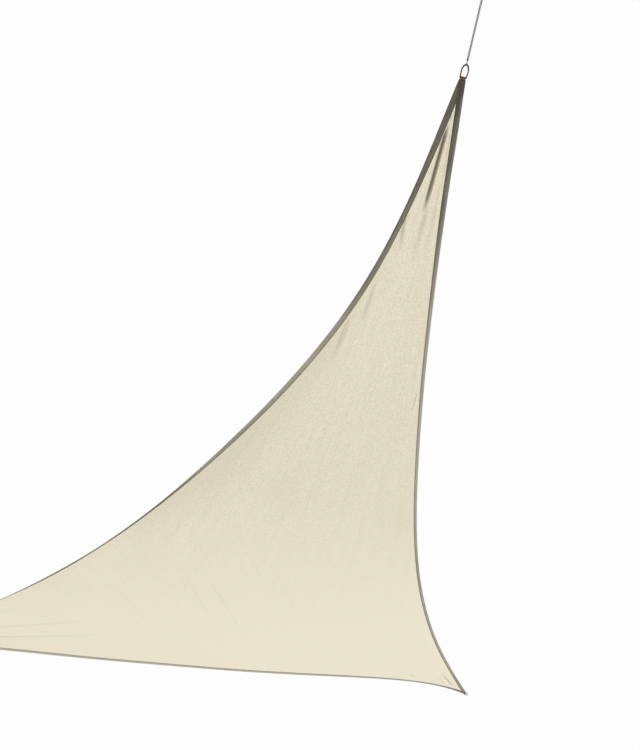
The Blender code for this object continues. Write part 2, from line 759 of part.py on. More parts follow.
def main():
    """Build the shade sail."""
    for obj in list(bpy.context.scene.objects):
        bpy.data.objects.remove(obj, do_unlink=True)
    collection = bpy.data.collections.new("shade_sail")
    bpy.context.scene.collection.children.link(collection)
    materials = {name: add_material(name) for name in MATERIALS}
    build_sail(collection, materials["knit"])
    for corner in range(3):
        build_strap(collection, corner, materials["webbing"])
        build_ring(collection, corner, materials["steel"])
    build_rope(collection, materials["cord"])
    build_hook(collection, materials["hook_wire"])
    build_near_whipping(collection, materials["twine"])
    build_outer_whipping(collection, materials["twine"])


main()
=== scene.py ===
"""Triangular shade sail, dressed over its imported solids.

The knitted cloth, its hems, webbing, wire rings and tie rope are built here in metres, in the
frame of the solids: the near corner's ring is at the origin and the right-hand side runs to +Y.
"""

import logging
import math
from dataclasses import dataclass
from enum import Enum

import bpy
import numpy as np
from mathutils import Matrix


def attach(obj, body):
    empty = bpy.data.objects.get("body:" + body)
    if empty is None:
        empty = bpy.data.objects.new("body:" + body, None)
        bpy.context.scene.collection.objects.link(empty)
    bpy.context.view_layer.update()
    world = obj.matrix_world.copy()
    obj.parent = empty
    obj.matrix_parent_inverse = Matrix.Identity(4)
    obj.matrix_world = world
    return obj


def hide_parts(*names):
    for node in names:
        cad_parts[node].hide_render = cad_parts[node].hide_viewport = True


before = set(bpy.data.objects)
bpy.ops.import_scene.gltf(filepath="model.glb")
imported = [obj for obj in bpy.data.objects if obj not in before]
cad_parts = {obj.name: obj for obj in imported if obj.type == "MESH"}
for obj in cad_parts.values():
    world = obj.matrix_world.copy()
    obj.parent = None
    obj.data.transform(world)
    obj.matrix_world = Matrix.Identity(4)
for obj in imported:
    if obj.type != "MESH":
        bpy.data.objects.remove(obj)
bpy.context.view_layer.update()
LOG = logging.getLogger("shade_sail")
Array = np.ndarray
Socket = bpy.types.NodeSocket
Rows = tuple[tuple[float, ...], ...]
Piece = bpy.types.Object
Skin = tuple[Array, Array, Array | None, list[tuple[int, ...]]]
UP = np.array((0.0, 0.0, 1.0))
MM = 0.001
WAVE_UNIT = 0.314  # a wave texture's bands repeat every WAVE_UNIT / scale metres
CURVE_POINTS = 4000  # a smooth curve is first worked out at so many points


# ---- plain helpers
def unit(vectors: Array) -> Array:
    """Return a vector, or each row of an array of vectors, at length one."""
    vectors = np.asarray(vectors, float)
    return vectors / np.linalg.norm(vectors, axis=-1, keepdims=True)


def fade(value: Array, low: float, high: float) -> Array:
    """Return the smooth step at each number: it leaves 0 at `low` and reaches 1 at `high`."""
    part = np.clip((value - low) / (high - low), 0, 1)
    return part * part * (3 - 2 * part)


def crowd(even: Array, amount: float) -> Array:
    """Return even shares drawn towards 0 and 1."""
    return even - amount * np.sin(2 * np.pi * even) / (2 * np.pi)


def smooth_rows(places: Array, values: Array, at: Array) -> Array:
    """Natural cubic curve through a table's rows.

    Args:
        places: Where the rows stand, rising.
        values: The rows' values.
        at: Where the curve is read.

    Returns:
        The curve's value at each of those places.
    """
    places, values, at = (np.asarray(numbers, float) for numbers in (places, values, at))
    gaps = np.diff(places)
    inner = np.arange(1, len(places) - 1)
    system = np.eye(len(places))
    system[inner, inner - 1] = gaps[:-1]
    system[inner, inner] = 2 * (gaps[:-1] + gaps[1:])
    system[inner, inner + 1] = gaps[1:]
    right = np.zeros(len(places))
    right[1:-1] = 6 * np.diff(np.diff(values) / gaps)
    bends = np.linalg.solve(system, right)
    span = np.clip(np.searchsorted(places, at) - 1, 0, len(places) - 2)
    gap = gaps[span]
    left = (places[span + 1] - at) / gap
    rest = (at - places[span]) / gap
    curve = left * values[span] + rest * values[span + 1]
    bent = (left**3 - left) * bends[span] + (rest**3 - rest) * bends[span + 1]
    return curve + bent * gap**2 / 6


def travel(line: Array) -> Array:
    """Return the distance from a line's start to each of its points."""
    steps = np.linalg.norm(np.diff(line, axis=0), axis=1)
    return np.concatenate([[0.0], np.cumsum(steps)])


def read_rows(at: Array, places: Array, rows: Array) -> Array:
    """Return a table's rows, which stand at `places`, read at other places."""
    return np.stack([np.interp(at, places, column) for column in rows.T], axis=1)


def read_line(line: Array, places: Array) -> Array:
    """Return the points of a line at the given distances from its start."""
    return read_rows(places, travel(line), line)


def smooth_path(rows: Array, step: float) -> Array:
    """Even points on a smooth open curve through a short table of points.

    Args:
        rows: The table, one point a row.
        step: The wanted gap between the curve's points.

    Returns:
        The curve's points.
    """
    rows = np.asarray(rows, float)
    along = travel(rows)
    fine = np.linspace(0, along[-1], CURVE_POINTS)
    curve = np.stack([smooth_rows(along, column, fine) for column in rows.T], axis=1)
    length = travel(curve)[-1]
    return read_line(curve, np.linspace(0, length, int(round(length / step)) + 1))


def arc(radius: float, angles: Array) -> list[tuple[float, float]]:
    """Return the points of an arc round 0, 0 at the given angles."""
    return [(radius * math.cos(angle), radius * math.sin(angle)) for angle in angles]


def linear(hex_colour: str) -> tuple[float, float, float, float]:
    """Turn a colour into what a shader takes.

    Args:
        hex_colour: The sRGB colour, as #RRGGBB.

    Returns:
        The linear red, green and blue, and the opacity.
    """
    parts = [int(hex_colour[k : k + 2], 16) / 255 for k in (1, 3, 5)]
    tones = [p / 12.92 if p <= 0.04045 else ((p + 0.055) / 1.055) ** 2.4 for p in parts]
    return (*tones, 1.0)


# ---- mesh helpers
def grid_faces(rows: int, columns: int, round_columns: bool, round_rows: bool = False) -> Array:
    """Four-sided faces over a grid of vertices that is numbered row by row.

    Args:
        rows: Rows of vertices.
        columns: Vertices in a row.
        round_columns: Whether each row closes on itself.
        round_rows: Whether the last row joins the first.

    Returns:
        The faces' vertex numbers.
    """
    grid = np.arange(rows * columns).reshape(rows, columns)
    grid = np.pad(grid, ((0, round_rows), (0, round_columns)), "wrap")
    corners = (grid[:-1, :-1], grid[:-1, 1:], grid[1:, 1:], grid[1:, :-1])
    return np.stack(corners, -1).reshape(-1, 4)


def wrap(grid: Array, run: Array, across: Array, closed: bool = False) -> Skin:
    """Skin of a closed section that is swept along a line.

    Args:
        grid: The section's points at each step of the line.
        run: Distance along the line at each step, and again at the start of a closed one.
        across: Distance round the section at each of its points, and again at the first.
        closed: Whether the line closes on itself.

    Returns:
        The vertices, the faces, the faces' flat places and the end caps.
    """
    rows, sides = grid.shape[:2]
    u = np.stack([run[:-1], run[:-1], run[1:], run[1:]], 1).repeat(sides, axis=0)
    v = np.stack([across[:-1], across[1:], across[1:], across[:-1]], 1)
    v = np.tile(v, (len(run) - 1, 1))
    last = (rows - 1) * sides
    caps = [] if closed else [tuple(range(sides))[::-1], tuple(range(last, last + sides))]
    return grid.reshape(-1, 3), grid_faces(rows, sides, True, closed), np.stack([u, v], -1), caps


def tube(
    line: Array,
    radius: float | Array,
    sides: int,
    closed: bool = False,
    widen: float = 1.0,
    facing: Array | None = None,
) -> Skin:
    """Sweep a round section along a line.

    Args:
        line: The centreline's points.
        radius: The section's radius, one number or one for each point.
        sides: Points round the section.
        closed: Whether the line closes on itself.
        widen: How much wider than high the section is.
        facing: The direction in which the section is not widened, one or one for each point.

    Returns:
        The tube's skin.
    """
    ahead = np.roll(line, -1, 0) - np.roll(line, 1, 0) if closed else np.gradient(line, axis=0)
    ahead = unit(ahead)
    if facing is None:
        facing = np.zeros_like(line)
        side = unit(np.cross(ahead[0], UP if abs(ahead[0][2]) < 0.9 else np.array((1.0, 0, 0))))
        for k in range(len(line)):
            side = unit(side - ahead[k] * (side @ ahead[k]))
            facing[k] = side
    facing = np.broadcast_to(facing, line.shape)
    facing = unit(facing - ahead * (facing * ahead).sum(1, keepdims=True))
    turn = 2 * np.pi * np.arange(sides) / sides
    ring = facing[:, None] * np.cos(turn)[None, :, None]
    ring = ring + np.cross(ahead, facing)[:, None] * np.sin(turn)[None, :, None] * widen
    reach = np.broadcast_to(np.asarray(radius, float), (len(line),))[:, None, None]
    run = travel(line)
    if closed:
        run = np.append(run, run[-1] + np.linalg.norm(line[0] - line[-1]))
    step = 2 * np.pi * float(np.mean(radius)) / sides
    return wrap(line[:, None] + ring * reach, run, np.arange(sides + 1) * step, closed)


def join(skins: list[Skin]) -> Skin:
    """Put several skins together.

    Args:
        skins: The skins.

    Returns:
        One skin, whose faces and caps point at the joined list of vertices.
    """
    starts = np.cumsum([0] + [len(skin[0]) for skin in skins])
    caps = [tuple(int(low) + k for k in cap) for low, skin in zip(starts, skins) for cap in skin[3]]
    return (np.concatenate([skin[0] for skin in skins]),
            np.concatenate([skin[1] + low for low, skin in zip(starts, skins)]),
            np.concatenate([skin[2] for skin in skins]), caps)


def add_object(name: str, data: bpy.types.ID) -> Piece:
    """Put something into the scene, at the origin.

    Args:
        name: The object's name.
        data: Its mesh, camera or light.

    Returns:
        The object.
    """
    item = bpy.data.objects.new(name, data)
    bpy.context.scene.collection.objects.link(item)
    return item


def make_piece(name: str, skin: Skin, *finishes: "Finish", solid: bool = True) -> Piece:
    """Make a smooth mesh object at the origin.

    Args:
        name: The piece's name.
        skin: Its vertices, four-sided faces, one flat place for each corner of those, and caps.
        finishes: Its finishes.
        solid: Whether the skin is closed, so that its faces have to look outward.

    Returns:
        The new object, in the scene.
    """
    vertices, faces, uv, caps = skin
    mesh = bpy.data.meshes.new(name)
    mesh.from_pydata(vertices.tolist(), [], faces.tolist() + [list(cap) for cap in caps])
    if uv is not None:
        flat = np.zeros((len(mesh.loops), 2))
        flat[: faces.size] = uv.reshape(-1, 2)
        mesh.uv_layers.new(name="Cloth").data.foreach_set("uv", flat.ravel())
    mesh.polygons.foreach_set("use_smooth", [True] * len(mesh.polygons))
    mesh.update()
    if solid:
        mesh.calc_loop_triangles()
        points = np.array([v.co[:] for v in mesh.vertices])
        corners = np.array([t.vertices[:] for t in mesh.loop_triangles])
        a, b, c = (points[corners[:, k]] for k in range(3))
        if (a * np.cross(b, c)).sum() < 0:
            mesh.flip_normals()
    for finish in finishes:
        mesh.materials.append(finish.material())
    return add_object(name, mesh)


def paint(piece: Piece, label: str, values: Array) -> None:
    """Store one number for each of a piece's vertices, for its material to read."""
    piece.data.attributes.new(label, "FLOAT", "POINT").data.foreach_set("value", values.ravel())


# ---- finishes
class Nodes:
    """Adds nodes to one tree; each call returns an output of the node that it adds."""

    def __init__(self, tree: bpy.types.NodeTree) -> None:
        """Keep the shader or geometry tree."""
        self.tree = tree

    def add(
        self,
        kind: str,
        inputs: dict[str | int, object] | None = None,
        out: str | int = 0,
        **settings: object,
    ) -> Socket | None:
        """Add a node of any kind.

        Args:
            kind: The node's type name.
            inputs: For each input, by name or number, its value or the output that feeds it.
            out: The output to return, by name or number.
            settings: Properties of the node itself.

        Returns:
            That output, if the node has outputs.
        """
        node = self.tree.nodes.new(kind)
        for key, value in settings.items():
            setattr(node, key, value)
        for key, value in (inputs or {}).items():
            if isinstance(value, Socket):
                self.tree.links.new(value, node.inputs[key])
            elif value is not None:
                node.inputs[key].default_value = value
        return node.outputs[out] if node.outputs else None

    def noise(self, vector: Socket, scale: float, detail: float, rough: float = 0.5) -> Socket:
        """Add a noise texture."""
        return self.add("ShaderNodeTexNoise", {
            "Vector": vector, "Scale": scale, "Detail": detail, "Roughness": rough})

    def wave(self, vector: Socket, axis: str, scale: float, *shape: float) -> Socket:
        """Add bands.

        Args:
            vector: Where they are read.
            axis: The axis that they lie across.
            scale: How close together they stand.
            shape: Their distortion, detail, its scale and its roughness, as many as are set.

        Returns:
            The bands' height, from 0 to 1.
        """
        names = ("Distortion", "Detail", "Detail Scale", "Detail Roughness")
        inputs = {"Vector": vector, "Scale": scale, **dict(zip(names, shape))}
        return self.add("ShaderNodeTexWave", inputs, "Fac", bands_direction=axis)

    def remap(
        self, value: Socket, low: float = 0.0, high: float = 1.0, to_low: float = 0.0,
        to_high: float = 1.0, kind: str = "LINEAR",
    ) -> Socket:
        """Carry a value from one range to another.

        Args:
            value: The value.
            low: The first range's start.
            high: The first range's end.
            to_low: The second range's start.
            to_high: The second range's end.
            kind: How it goes from one end to the other.

        Returns:
            The carried value.
        """
        return self.add("ShaderNodeMapRange", {
            "Value": value, "From Min": low, "From Max": high, "To Min": to_low, "To Max": to_high},
            interpolation_type=kind)

    def mix(self, factor: Socket, one: object, other: object, kind: str = "RGBA") -> Socket:
        """Mix two colours or numbers.

        Args:
            factor: The second one's share.
            one: The first: an output, a hex colour or a number.
            other: The second.
            kind: RGBA for colours, FLOAT for numbers.

        Returns:
            The mix.
        """
        one, other = (linear(part) if isinstance(part, str) else part for part in (one, other))
        return self.add("ShaderNodeMix", {"Factor": factor, "A": one, "B": other}, "Result",
                        data_type=kind)

    def math(self, operation: str, *values: Socket | float, clamp: bool = False) -> Socket:
        """Work out one operation on up to three values."""
        return self.add("ShaderNodeMath", dict(enumerate(values)), operation=operation,
                        use_clamp=clamp)

    def sum(self, *parts: tuple[Socket, float]) -> Socket:
        """Add up several values.

        Args:
            parts: Each value and its weight.

        Returns:
            The weighted sum.
        """
        total = self.add("ShaderNodeValue")
        for value, weight in parts:
            total = self.math("MULTIPLY_ADD", value, weight, total)
        return total

    def dot(self, vector: Socket, other: tuple[float, float, float]) -> Socket:
        """Measure a vector along another."""
        return self.add("ShaderNodeVectorMath", {0: vector, 1: other}, "Value",
                        operation="DOT_PRODUCT")

    def scaled(self, vector: Socket, *scale: float) -> Socket:
        """Stretch a vector's three numbers."""
        return self.add("ShaderNodeMapping", {"Vector": vector, "Scale": scale})

    def bump(
        self, height: Socket, strength: float, distance: float, normal: Socket | None = None
    ) -> Socket:
        """Add fine relief over the relief that `normal` already holds."""
        return self.add("ShaderNodeBump", {"Strength": strength, "Distance": distance,
                                           "Height": height, "Normal": normal})

    def lit_through(
        self, cloth: Socket, colour: Socket, normal: Socket | None, part: float
    ) -> Socket:
        """Let a part of the light come through a cloth's shader."""
        behind = self.add("ShaderNodeBsdfTranslucent", {"Color": colour, "Normal": normal})
        return self.add("ShaderNodeMixShader", {"Fac": part, 1: cloth, 2: behind})


@dataclass(frozen=True)
class Surface:
    """One real material."""

    name: str

    def shader(self, nodes: Nodes) -> Socket:
        """Add the material's nodes.

        Args:
            nodes: Its tree.

        Returns:
            The last shader.
        """
        raise NotImplementedError

    def make(self) -> bpy.types.Material:
        """Build the material."""
        material = bpy.data.materials.new(self.name)
        material.use_nodes = True
        material.node_tree.nodes.clear()
        nodes = Nodes(material.node_tree)
        nodes.add("ShaderNodeOutputMaterial", {"Surface": self.shader(nodes)})
        return material


@dataclass(frozen=True)
class KnitFinish(Surface):
    """Knitted polyethylene shade cloth, warm beige: matt tape yarn that lets half the light by.

    Real wales stand 2.5 mm apart, too fine for the render, so they are drawn 9 mm apart. The far
    part of the cloth is painted in lighter light. A sharp line, a crease left by packing or by the
    hem and drawn in painted shade, is its x at y = 0, its slope, its middle's y, half its length
    and darkness.
    """

    name: str = "knitted_shade_cloth"
    lit: str = "#F7F0DB"
    shaded: str = "#D9D2BD"
    # the darker tone of the cloudy patches and of a band inside the left hem
    darker_patch: str = "#CFC9AF"
    # painted shade for creases and sharp lines, then a painted highlight for the lit flanks of
    # folds
    painted_crease_shade: str = "#3E3A31"
    painted_fold_highlight: str = "#FFF9E8"
    through: float = 0.72
    wale: float = 9 * MM
    course: float = 5 * MM
    grain: float = 6.5 * MM
    fan: tuple[float, float, float] = (60.0, 1.3, 1.0)
    away: tuple[float, float, float] = (-0.35, 1.0, 0.0)
    # painted light: along this direction, over the far part of the cloth, the tone is pushed
    # towards the lit colour
    plain: tuple[float, float] = (1.75, 3.9)
    far_side_light_tone: float = 0.92
    line_width: float = 6 * MM
    sharp_lines: Rows = (
        (-2.149, 0.014, 2.48, 0.45, 0.07), (-1.668, -0.021, 2.54, 0.50, 0.08),
        (-1.677, 0.031, 2.68, 0.60, 0.09), (-1.357, 0.056, 2.78, 0.65, 0.06),
        (-1.225, 0.024, 1.62, 0.25, 0.08), (-1.467, 0.062, 2.24, 0.30, 0.06),
        (-0.121, -0.154, 1.39, 0.33, 0.05), (-0.147, -0.152, 1.39, 0.38, 0.04),
        (-0.154, -0.158, 1.40, 0.30, 0.04))

    def shader(self, nodes: Nodes) -> Socket:
        """Lay ribs, streaks that fan out from the near corner, grain, darker patches, painted light
        over the far part, and painted shade and painted highlights at the creases.

        Args:
            nodes: The material's tree.

        Returns:
            The shader's output.
        """
        place = nodes.add("ShaderNodeTexCoord", out="Object")
        plain = nodes.remap(nodes.dot(place, self.away), *self.plain, kind="SMOOTHSTEP")
        wales = nodes.wave(place, "X", WAVE_UNIT / self.wale, 2.2, 3.0, 0.35, 0.6)
        courses = nodes.wave(place, "Y", WAVE_UNIT / self.course, 1.2, 2.0)
        x, y = (nodes.add("ShaderNodeSeparateXYZ", {"Vector": place}, axis) for axis in "XY")
        radius = nodes.add("ShaderNodeVectorMath", {0: place}, "Value", operation="LENGTH")
        polar = nodes.add("ShaderNodeCombineXYZ", {"X": nodes.math("ARCTAN2", x, y), "Y": radius})
        streaks = nodes.noise(nodes.scaled(polar, *self.fan), 1.0, 3.0, 0.6)
        clouds = nodes.noise(place, 1.7, 3.5, 0.55)
        grain = nodes.noise(nodes.scaled(place, 1.0, 0.6, 1.0), 1 / self.grain, 1.5, 0.55)
        tone = nodes.remap(nodes.sum((streaks, 0.22), (wales, 0.08), (grain, 0.76)), 0.28, 0.81)
        tone = nodes.mix(plain, tone, self.far_side_light_tone, "FLOAT")
        patch = nodes.remap(clouds, 0.54, 0.76, to_high=0.20)
        patch = nodes.mix(plain, patch, 0.0, "FLOAT")
        left_darkening, crease = (nodes.add("ShaderNodeAttribute", out="Fac", attribute_name=label)
                        for label in ("left_darkening", "crease"))
        base = nodes.mix(tone, self.shaded, self.lit)
        # painted shade in creases and along the sharp lines, a painted highlight on fold flanks
        # where the crease value is below 0
        for amount, colour in (
            (nodes.math("ADD", patch, left_darkening), self.darker_patch), (crease, self.painted_crease_shade),
            (nodes.math("MULTIPLY", crease, -1.0), self.painted_fold_highlight),
            (self.lines(nodes, place, grain), self.painted_crease_shade),
        ):
            base = nodes.mix(amount, base, colour)
        bump = nodes.bump(courses, 0.18, 0.3 * MM, nodes.bump(wales, 0.25, 0.4 * MM))
        cloth = nodes.add("ShaderNodeBsdfPrincipled", {
            "Roughness": 0.9, "Specular IOR Level": 0.2, "Base Color": base, "Normal": bump})
        return nodes.lit_through(cloth, base, bump, self.through)

    def lines(self, nodes: Nodes, place: Socket, grain: Socket) -> Socket:
        """Draw the sharp lines in painted crease shade, broken up by the grain.

        Args:
            nodes: The material's tree.
            place: Object coordinates.
            grain: The cloth's grain.

        Returns:
            How dark the lines are.
        """
        parts = []
        for start, slope, middle, half, dark in self.sharp_lines:
            faded = []
            for aside, centre, reach in (((1.0, -slope, 0.0), start, self.line_width),
                                         ((0.0, 1.0, 0.0), middle, half)):
                gap = nodes.math("SUBTRACT", nodes.dot(place, aside), centre)
                gap = nodes.math("ABSOLUTE", gap)
                faded.append(nodes.remap(gap, 0.0, reach, 1.0, 0.0, "SMOOTHSTEP"))
            parts.append((nodes.math("MULTIPLY", *faded), dark))
        return nodes.math("MULTIPLY", nodes.sum(*parts), nodes.remap(grain, 0.35, 0.60, 1.6, 0.4))


@dataclass(frozen=True)
class HemFinish(Surface):
    """Three layers of the knit sewn over edge tape: nearly opaque, greyer, streaked lengthwise,
    and painted dark in shade and pale where lit.

    The flat place's u runs along the hem in metres, its v across it from 0 to 1.
    """

    name: str = "folded_hem"
    # the hem in painted shade and in painted light
    dark: str = "#5F5C53"
    pale: str = "#EDE7D6"
    seam: str = "#5A564A"
    through: float = 0.06
    seam_reach: tuple[float, float] = (0.09, 0.19)
    streak: float = 0.14

    def shader(self, nodes: Nodes) -> Socket:
        """Lay folded cloth in painted shade, painted pale in light where the attribute says,
        puckered by its seams.

        Args:
            nodes: The material's tree.

        Returns:
            The shader's output.
        """
        place = nodes.add("ShaderNodeUVMap", uv_map="Cloth")
        streaks = nodes.noise(nodes.scaled(place, 9.0, 7.0, 1.0), 1.0, 4.0, 0.6)
        streaks = nodes.remap(streaks, 0.32, 0.68, -self.streak, self.streak)
        # painted light and shade: the attribute lifts the hem from its shaded dark towards its lit
        # pale
        painted_hem_light = nodes.add("ShaderNodeAttribute", out="Fac", attribute_name="painted_hem_light")
        base = nodes.mix(nodes.math("ADD", painted_hem_light, streaks, clamp=True), self.dark, self.pale)
        across = nodes.add("ShaderNodeSeparateXYZ", {"Vector": place}, "Y")
        seam = nodes.remap(across, *self.seam_reach, 0.45, 0.0, "SMOOTHSTEP")
        base = nodes.mix(seam, base, self.seam)
        pucker = nodes.noise(nodes.scaled(place, 55.0, 1.2, 1.0), 1.0, 3.0, 0.55)
        ribs = nodes.wave(place, "Y", 2.2, 1.0, 2.0)
        bump = nodes.bump(ribs, 0.3, 0.5 * MM, nodes.bump(pucker, 0.5, 1.2 * MM))
        cloth = nodes.add("ShaderNodeBsdfPrincipled", {
            "Roughness": 0.85, "Specular IOR Level": 0.25, "Base Color": base, "Normal": bump})
        return nodes.lit_through(cloth, base, None, self.through)


@dataclass(frozen=True)
class WovenFinish(Surface):
    """Woven or wound yarn: matt fibres in ridges, a little worn pale on their crests."""

    colour: str
    crest: str
    ridge: float
    direction: str = "Y"

    def shader(self, nodes: Nodes) -> Socket:
        """Lay ridges `ridge` apart on the piece's flat place, fuzzy with loose fibre.

        Args:
            nodes: The material's tree.

        Returns:
            The shader's output.
        """
        place = nodes.add("ShaderNodeUVMap", uv_map="Cloth")
        ridges = nodes.wave(place, self.direction, WAVE_UNIT / self.ridge, 0.8, 2.0, 3.0)
        fuzz = nodes.noise(place, 900.0, 3.0)
        base = nodes.mix(nodes.math("MULTIPLY", ridges, fuzz), self.colour, self.crest)
        bump = nodes.bump(fuzz, 0.2, 0.1 * MM, nodes.bump(ridges, 0.6, 0.25 * self.ridge))
        return nodes.add("ShaderNodeBsdfPrincipled", {
            "Roughness": 0.8, "Specular IOR Level": 0.3, "Sheen Weight": 0.3,
            "Sheen Roughness": 0.4, "Base Color": base, "Normal": bump})


@dataclass(frozen=True)
class WireFinish(Surface):
    """Drawn steel wire, polished then dulled outdoors: fine lengthwise draw marks and grime."""

    colour: str
    grime: str
    roughness: float

    def shader(self, nodes: Nodes) -> Socket:
        """Draw marks that follow the wire, and grime that gathers in soft blotches.

        Args:
            nodes: The material's tree.

        Returns:
            The shader's output.
        """
        place = nodes.add("ShaderNodeUVMap", uv_map="Cloth")
        marks = nodes.noise(nodes.scaled(place, 60, 4000, 1), 1.0, 3.0)
        soil = nodes.noise(nodes.add("ShaderNodeTexCoord", out="Object"), 180.0, 4.0)
        return nodes.add("ShaderNodeBsdfPrincipled", {
            "Metallic": 1.0,
            "Base Color": nodes.mix(nodes.remap(soil, 0.42, 0.7), self.colour, self.grime),
            "Roughness": nodes.remap(
                marks, to_low=self.roughness - 0.06, to_high=self.roughness + 0.16),
            "Normal": nodes.bump(marks, 0.08, 0.05 * MM)})


@dataclass(frozen=True)
class FloorFinish(Surface):
    """Plain pale studio floor, matt paint."""

    name: str = "pale_studio_floor"
    colour: str = "#D8D6D2"

    def shader(self, nodes: Nodes) -> Socket:
        """Paint it in one pale tone with barely visible unevenness.

        Args:
            nodes: The material's tree.

        Returns:
            The shader's output.
        """
        noise = nodes.noise(nodes.add("ShaderNodeTexCoord", out="Object"), 2.0, 3.0)
        return nodes.add("ShaderNodeBsdfPrincipled", {
            "Base Color": linear(self.colour), "Specular IOR Level": 0.2,
            "Roughness": nodes.remap(noise, to_low=0.75, to_high=0.9)})


class Finish(Enum):
    """The finishes of the object and its floor, one for each real material."""

    KNIT = KnitFinish()
    HEM = HemFinish()
    WEBBING = WovenFinish("polyester_webbing", "#6B4A3A", "#A98468", 1.6 * MM)
    DARK_STRAND = WovenFinish("rope_yarn_dark", "#8F8A9E", "#B5B0C2", 1.1 * MM, "DIAGONAL")
    PALE_STRAND = WovenFinish("rope_yarn_pale", "#C9C6D4", "#F2F1F6", 1.1 * MM, "DIAGONAL")
    TWINE = WovenFinish("waxed_twine", "#5C6E76", "#93A6AC", 0.5 * MM, "DIAGONAL")
    THREAD = WovenFinish("sewing_thread", "#8A8678", "#A8A392", 0.6 * MM)
    RING_STEEL = WireFinish("drawn_steel_wire", "#6C6874", "#2E2B33", 0.30)
    HOOK_STEEL = WireFinish("zinc_plated_wire", "#7D8F94", "#46545A", 0.36)
    FLOOR = FloorFinish()

    def material(self) -> bpy.types.Material:
        """Return the finish's material, made on its first use."""
        return bpy.data.materials.get(self.value.name) or self.value.make()


# ---- the sail's plan
class Corner(Enum):
    """The sail's corners, as rows of its plan."""

    NEAR = 0
    RIGHT = 1
    LEFT = 2


@dataclass(frozen=True)
class Side:
    """One side of the sail, from its corner to the next; its rows stand at SHARES of its length."""

    inward_mm: tuple[float, ...]
    roll_deg: tuple[float, ...]
    droop: float
    onset: float


@dataclass(frozen=True)
class Fold:
    """One crease of the cloth: a straight run in plan, raised above 0 and sunk below it.

    It begins to die out at `hold`, a share of its run. `crease` is the painted shade along it,
    where its doubled cloth lets less light through, a painted highlight below 0, and `widening` how
    much wider that painted shade is at the end.
    """

    run_mm: tuple[float, ...]
    half_width_mm: float
    height_mm: float
    sharp: float
    hold: float
    crease: float = 0.0
    widening: float = 0.0


SHARES = (0, 0.03, 0.08, 0.15, 0.24, 0.34, 0.45, 0.56, 0.67, 0.77, 0.86, 0.93, 0.97, 1)
FOLDS = tuple(Fold(row[:4], *row[4:]) for row in (
    (-56, 122, -174, 434, 13, 15, 1, 0.8), (-70, 128, -120, 262, 8, -5, 0.8, 0.5),
    (-26, 100, -118, 470, 13, -5, 0.6, 0.45), (-168, 415, -212, 575, 22, 6, 0.2, 0.35, 0.08),
    (-248, 440, -293, 565, 18, -6, 0, 0.5), (-552, 822, -650, 1005, 24, 10, 0.3, 0.45),
    (-418, 696, -496, 880, 26, 8, 0, 0.5), (-112, 420, -190, 670, 20, -4, 0, 0.45, 0.04),
    (-112, 4800, -230, 4400, 13, 10, 0.8, 0.45, 0.35),
    (-166, 4700, -250, 4500, 12, -5, 0.4, 0.45, 0.1),
    (-445, 4415, -500, 4300, 12, 6, 0.3, 0.5, 0.3),
    (-3250, 2436, -2300, 2540, 17, 9, 0.6, 0.5, 0.08),
    (-3120, 2510, -2620, 2600, 15, -6, 0.3, 0.45),
    (-3300, 2590, -2360, 2752, 17, 9, 0.6, 0.5, 0.12), (-2860, 2238, -2390, 2340, 15, -6, 0.3, 0.5),
    # the painted shade and painted highlights on the flanks of the folds above, and creases too
    # shallow for the solids
    (-52, 120, -187.5, 468, 11.5, 0, 0, 0.78, 0.75, 0.25),
    (-160, 420, -252, 680, 16, 0, 0, 0.3, 0.19, 0.2),
    (-263, 440, -297, 600, 11, 0, 0, 0.5, 0.34, 0.2),
    (-410, 680, -512, 895, 15, 0, 0, 0.5, 0.2, 0.2), (-395, 690, -480, 880, 15, 0, 0, 0.5, -0.3),
    (-546, 805, -660, 1015, 11, 0, 0, 0.5, 0.2, 0.9), (-534, 828, -634, 1020, 13, 0, 0, 0.5, -0.35),
    (-100, 340, -182, 668, 7, 0, 0, 0.5, 0.12), (-46, 108, -54, 138, 5, 1, 0.5, 0.6, 0.4),
    (-225, 520, -245, 680, 16, 1.5, 0, 0.5, 0.06), (-254, 1330, -293, 1445, 7, 2, 0.5, 0.6, -0.4),
    (-264, 1322, -308, 1452, 8, 0, 0, 0.6, 0.3), (-3370, 2445, -3040, 2460, 7.5, 0, 0, 0.35, 0.62),
    (-3290, 2600, -2860, 2662, 7.5, 0, 0, 0.35, 0.66),
))


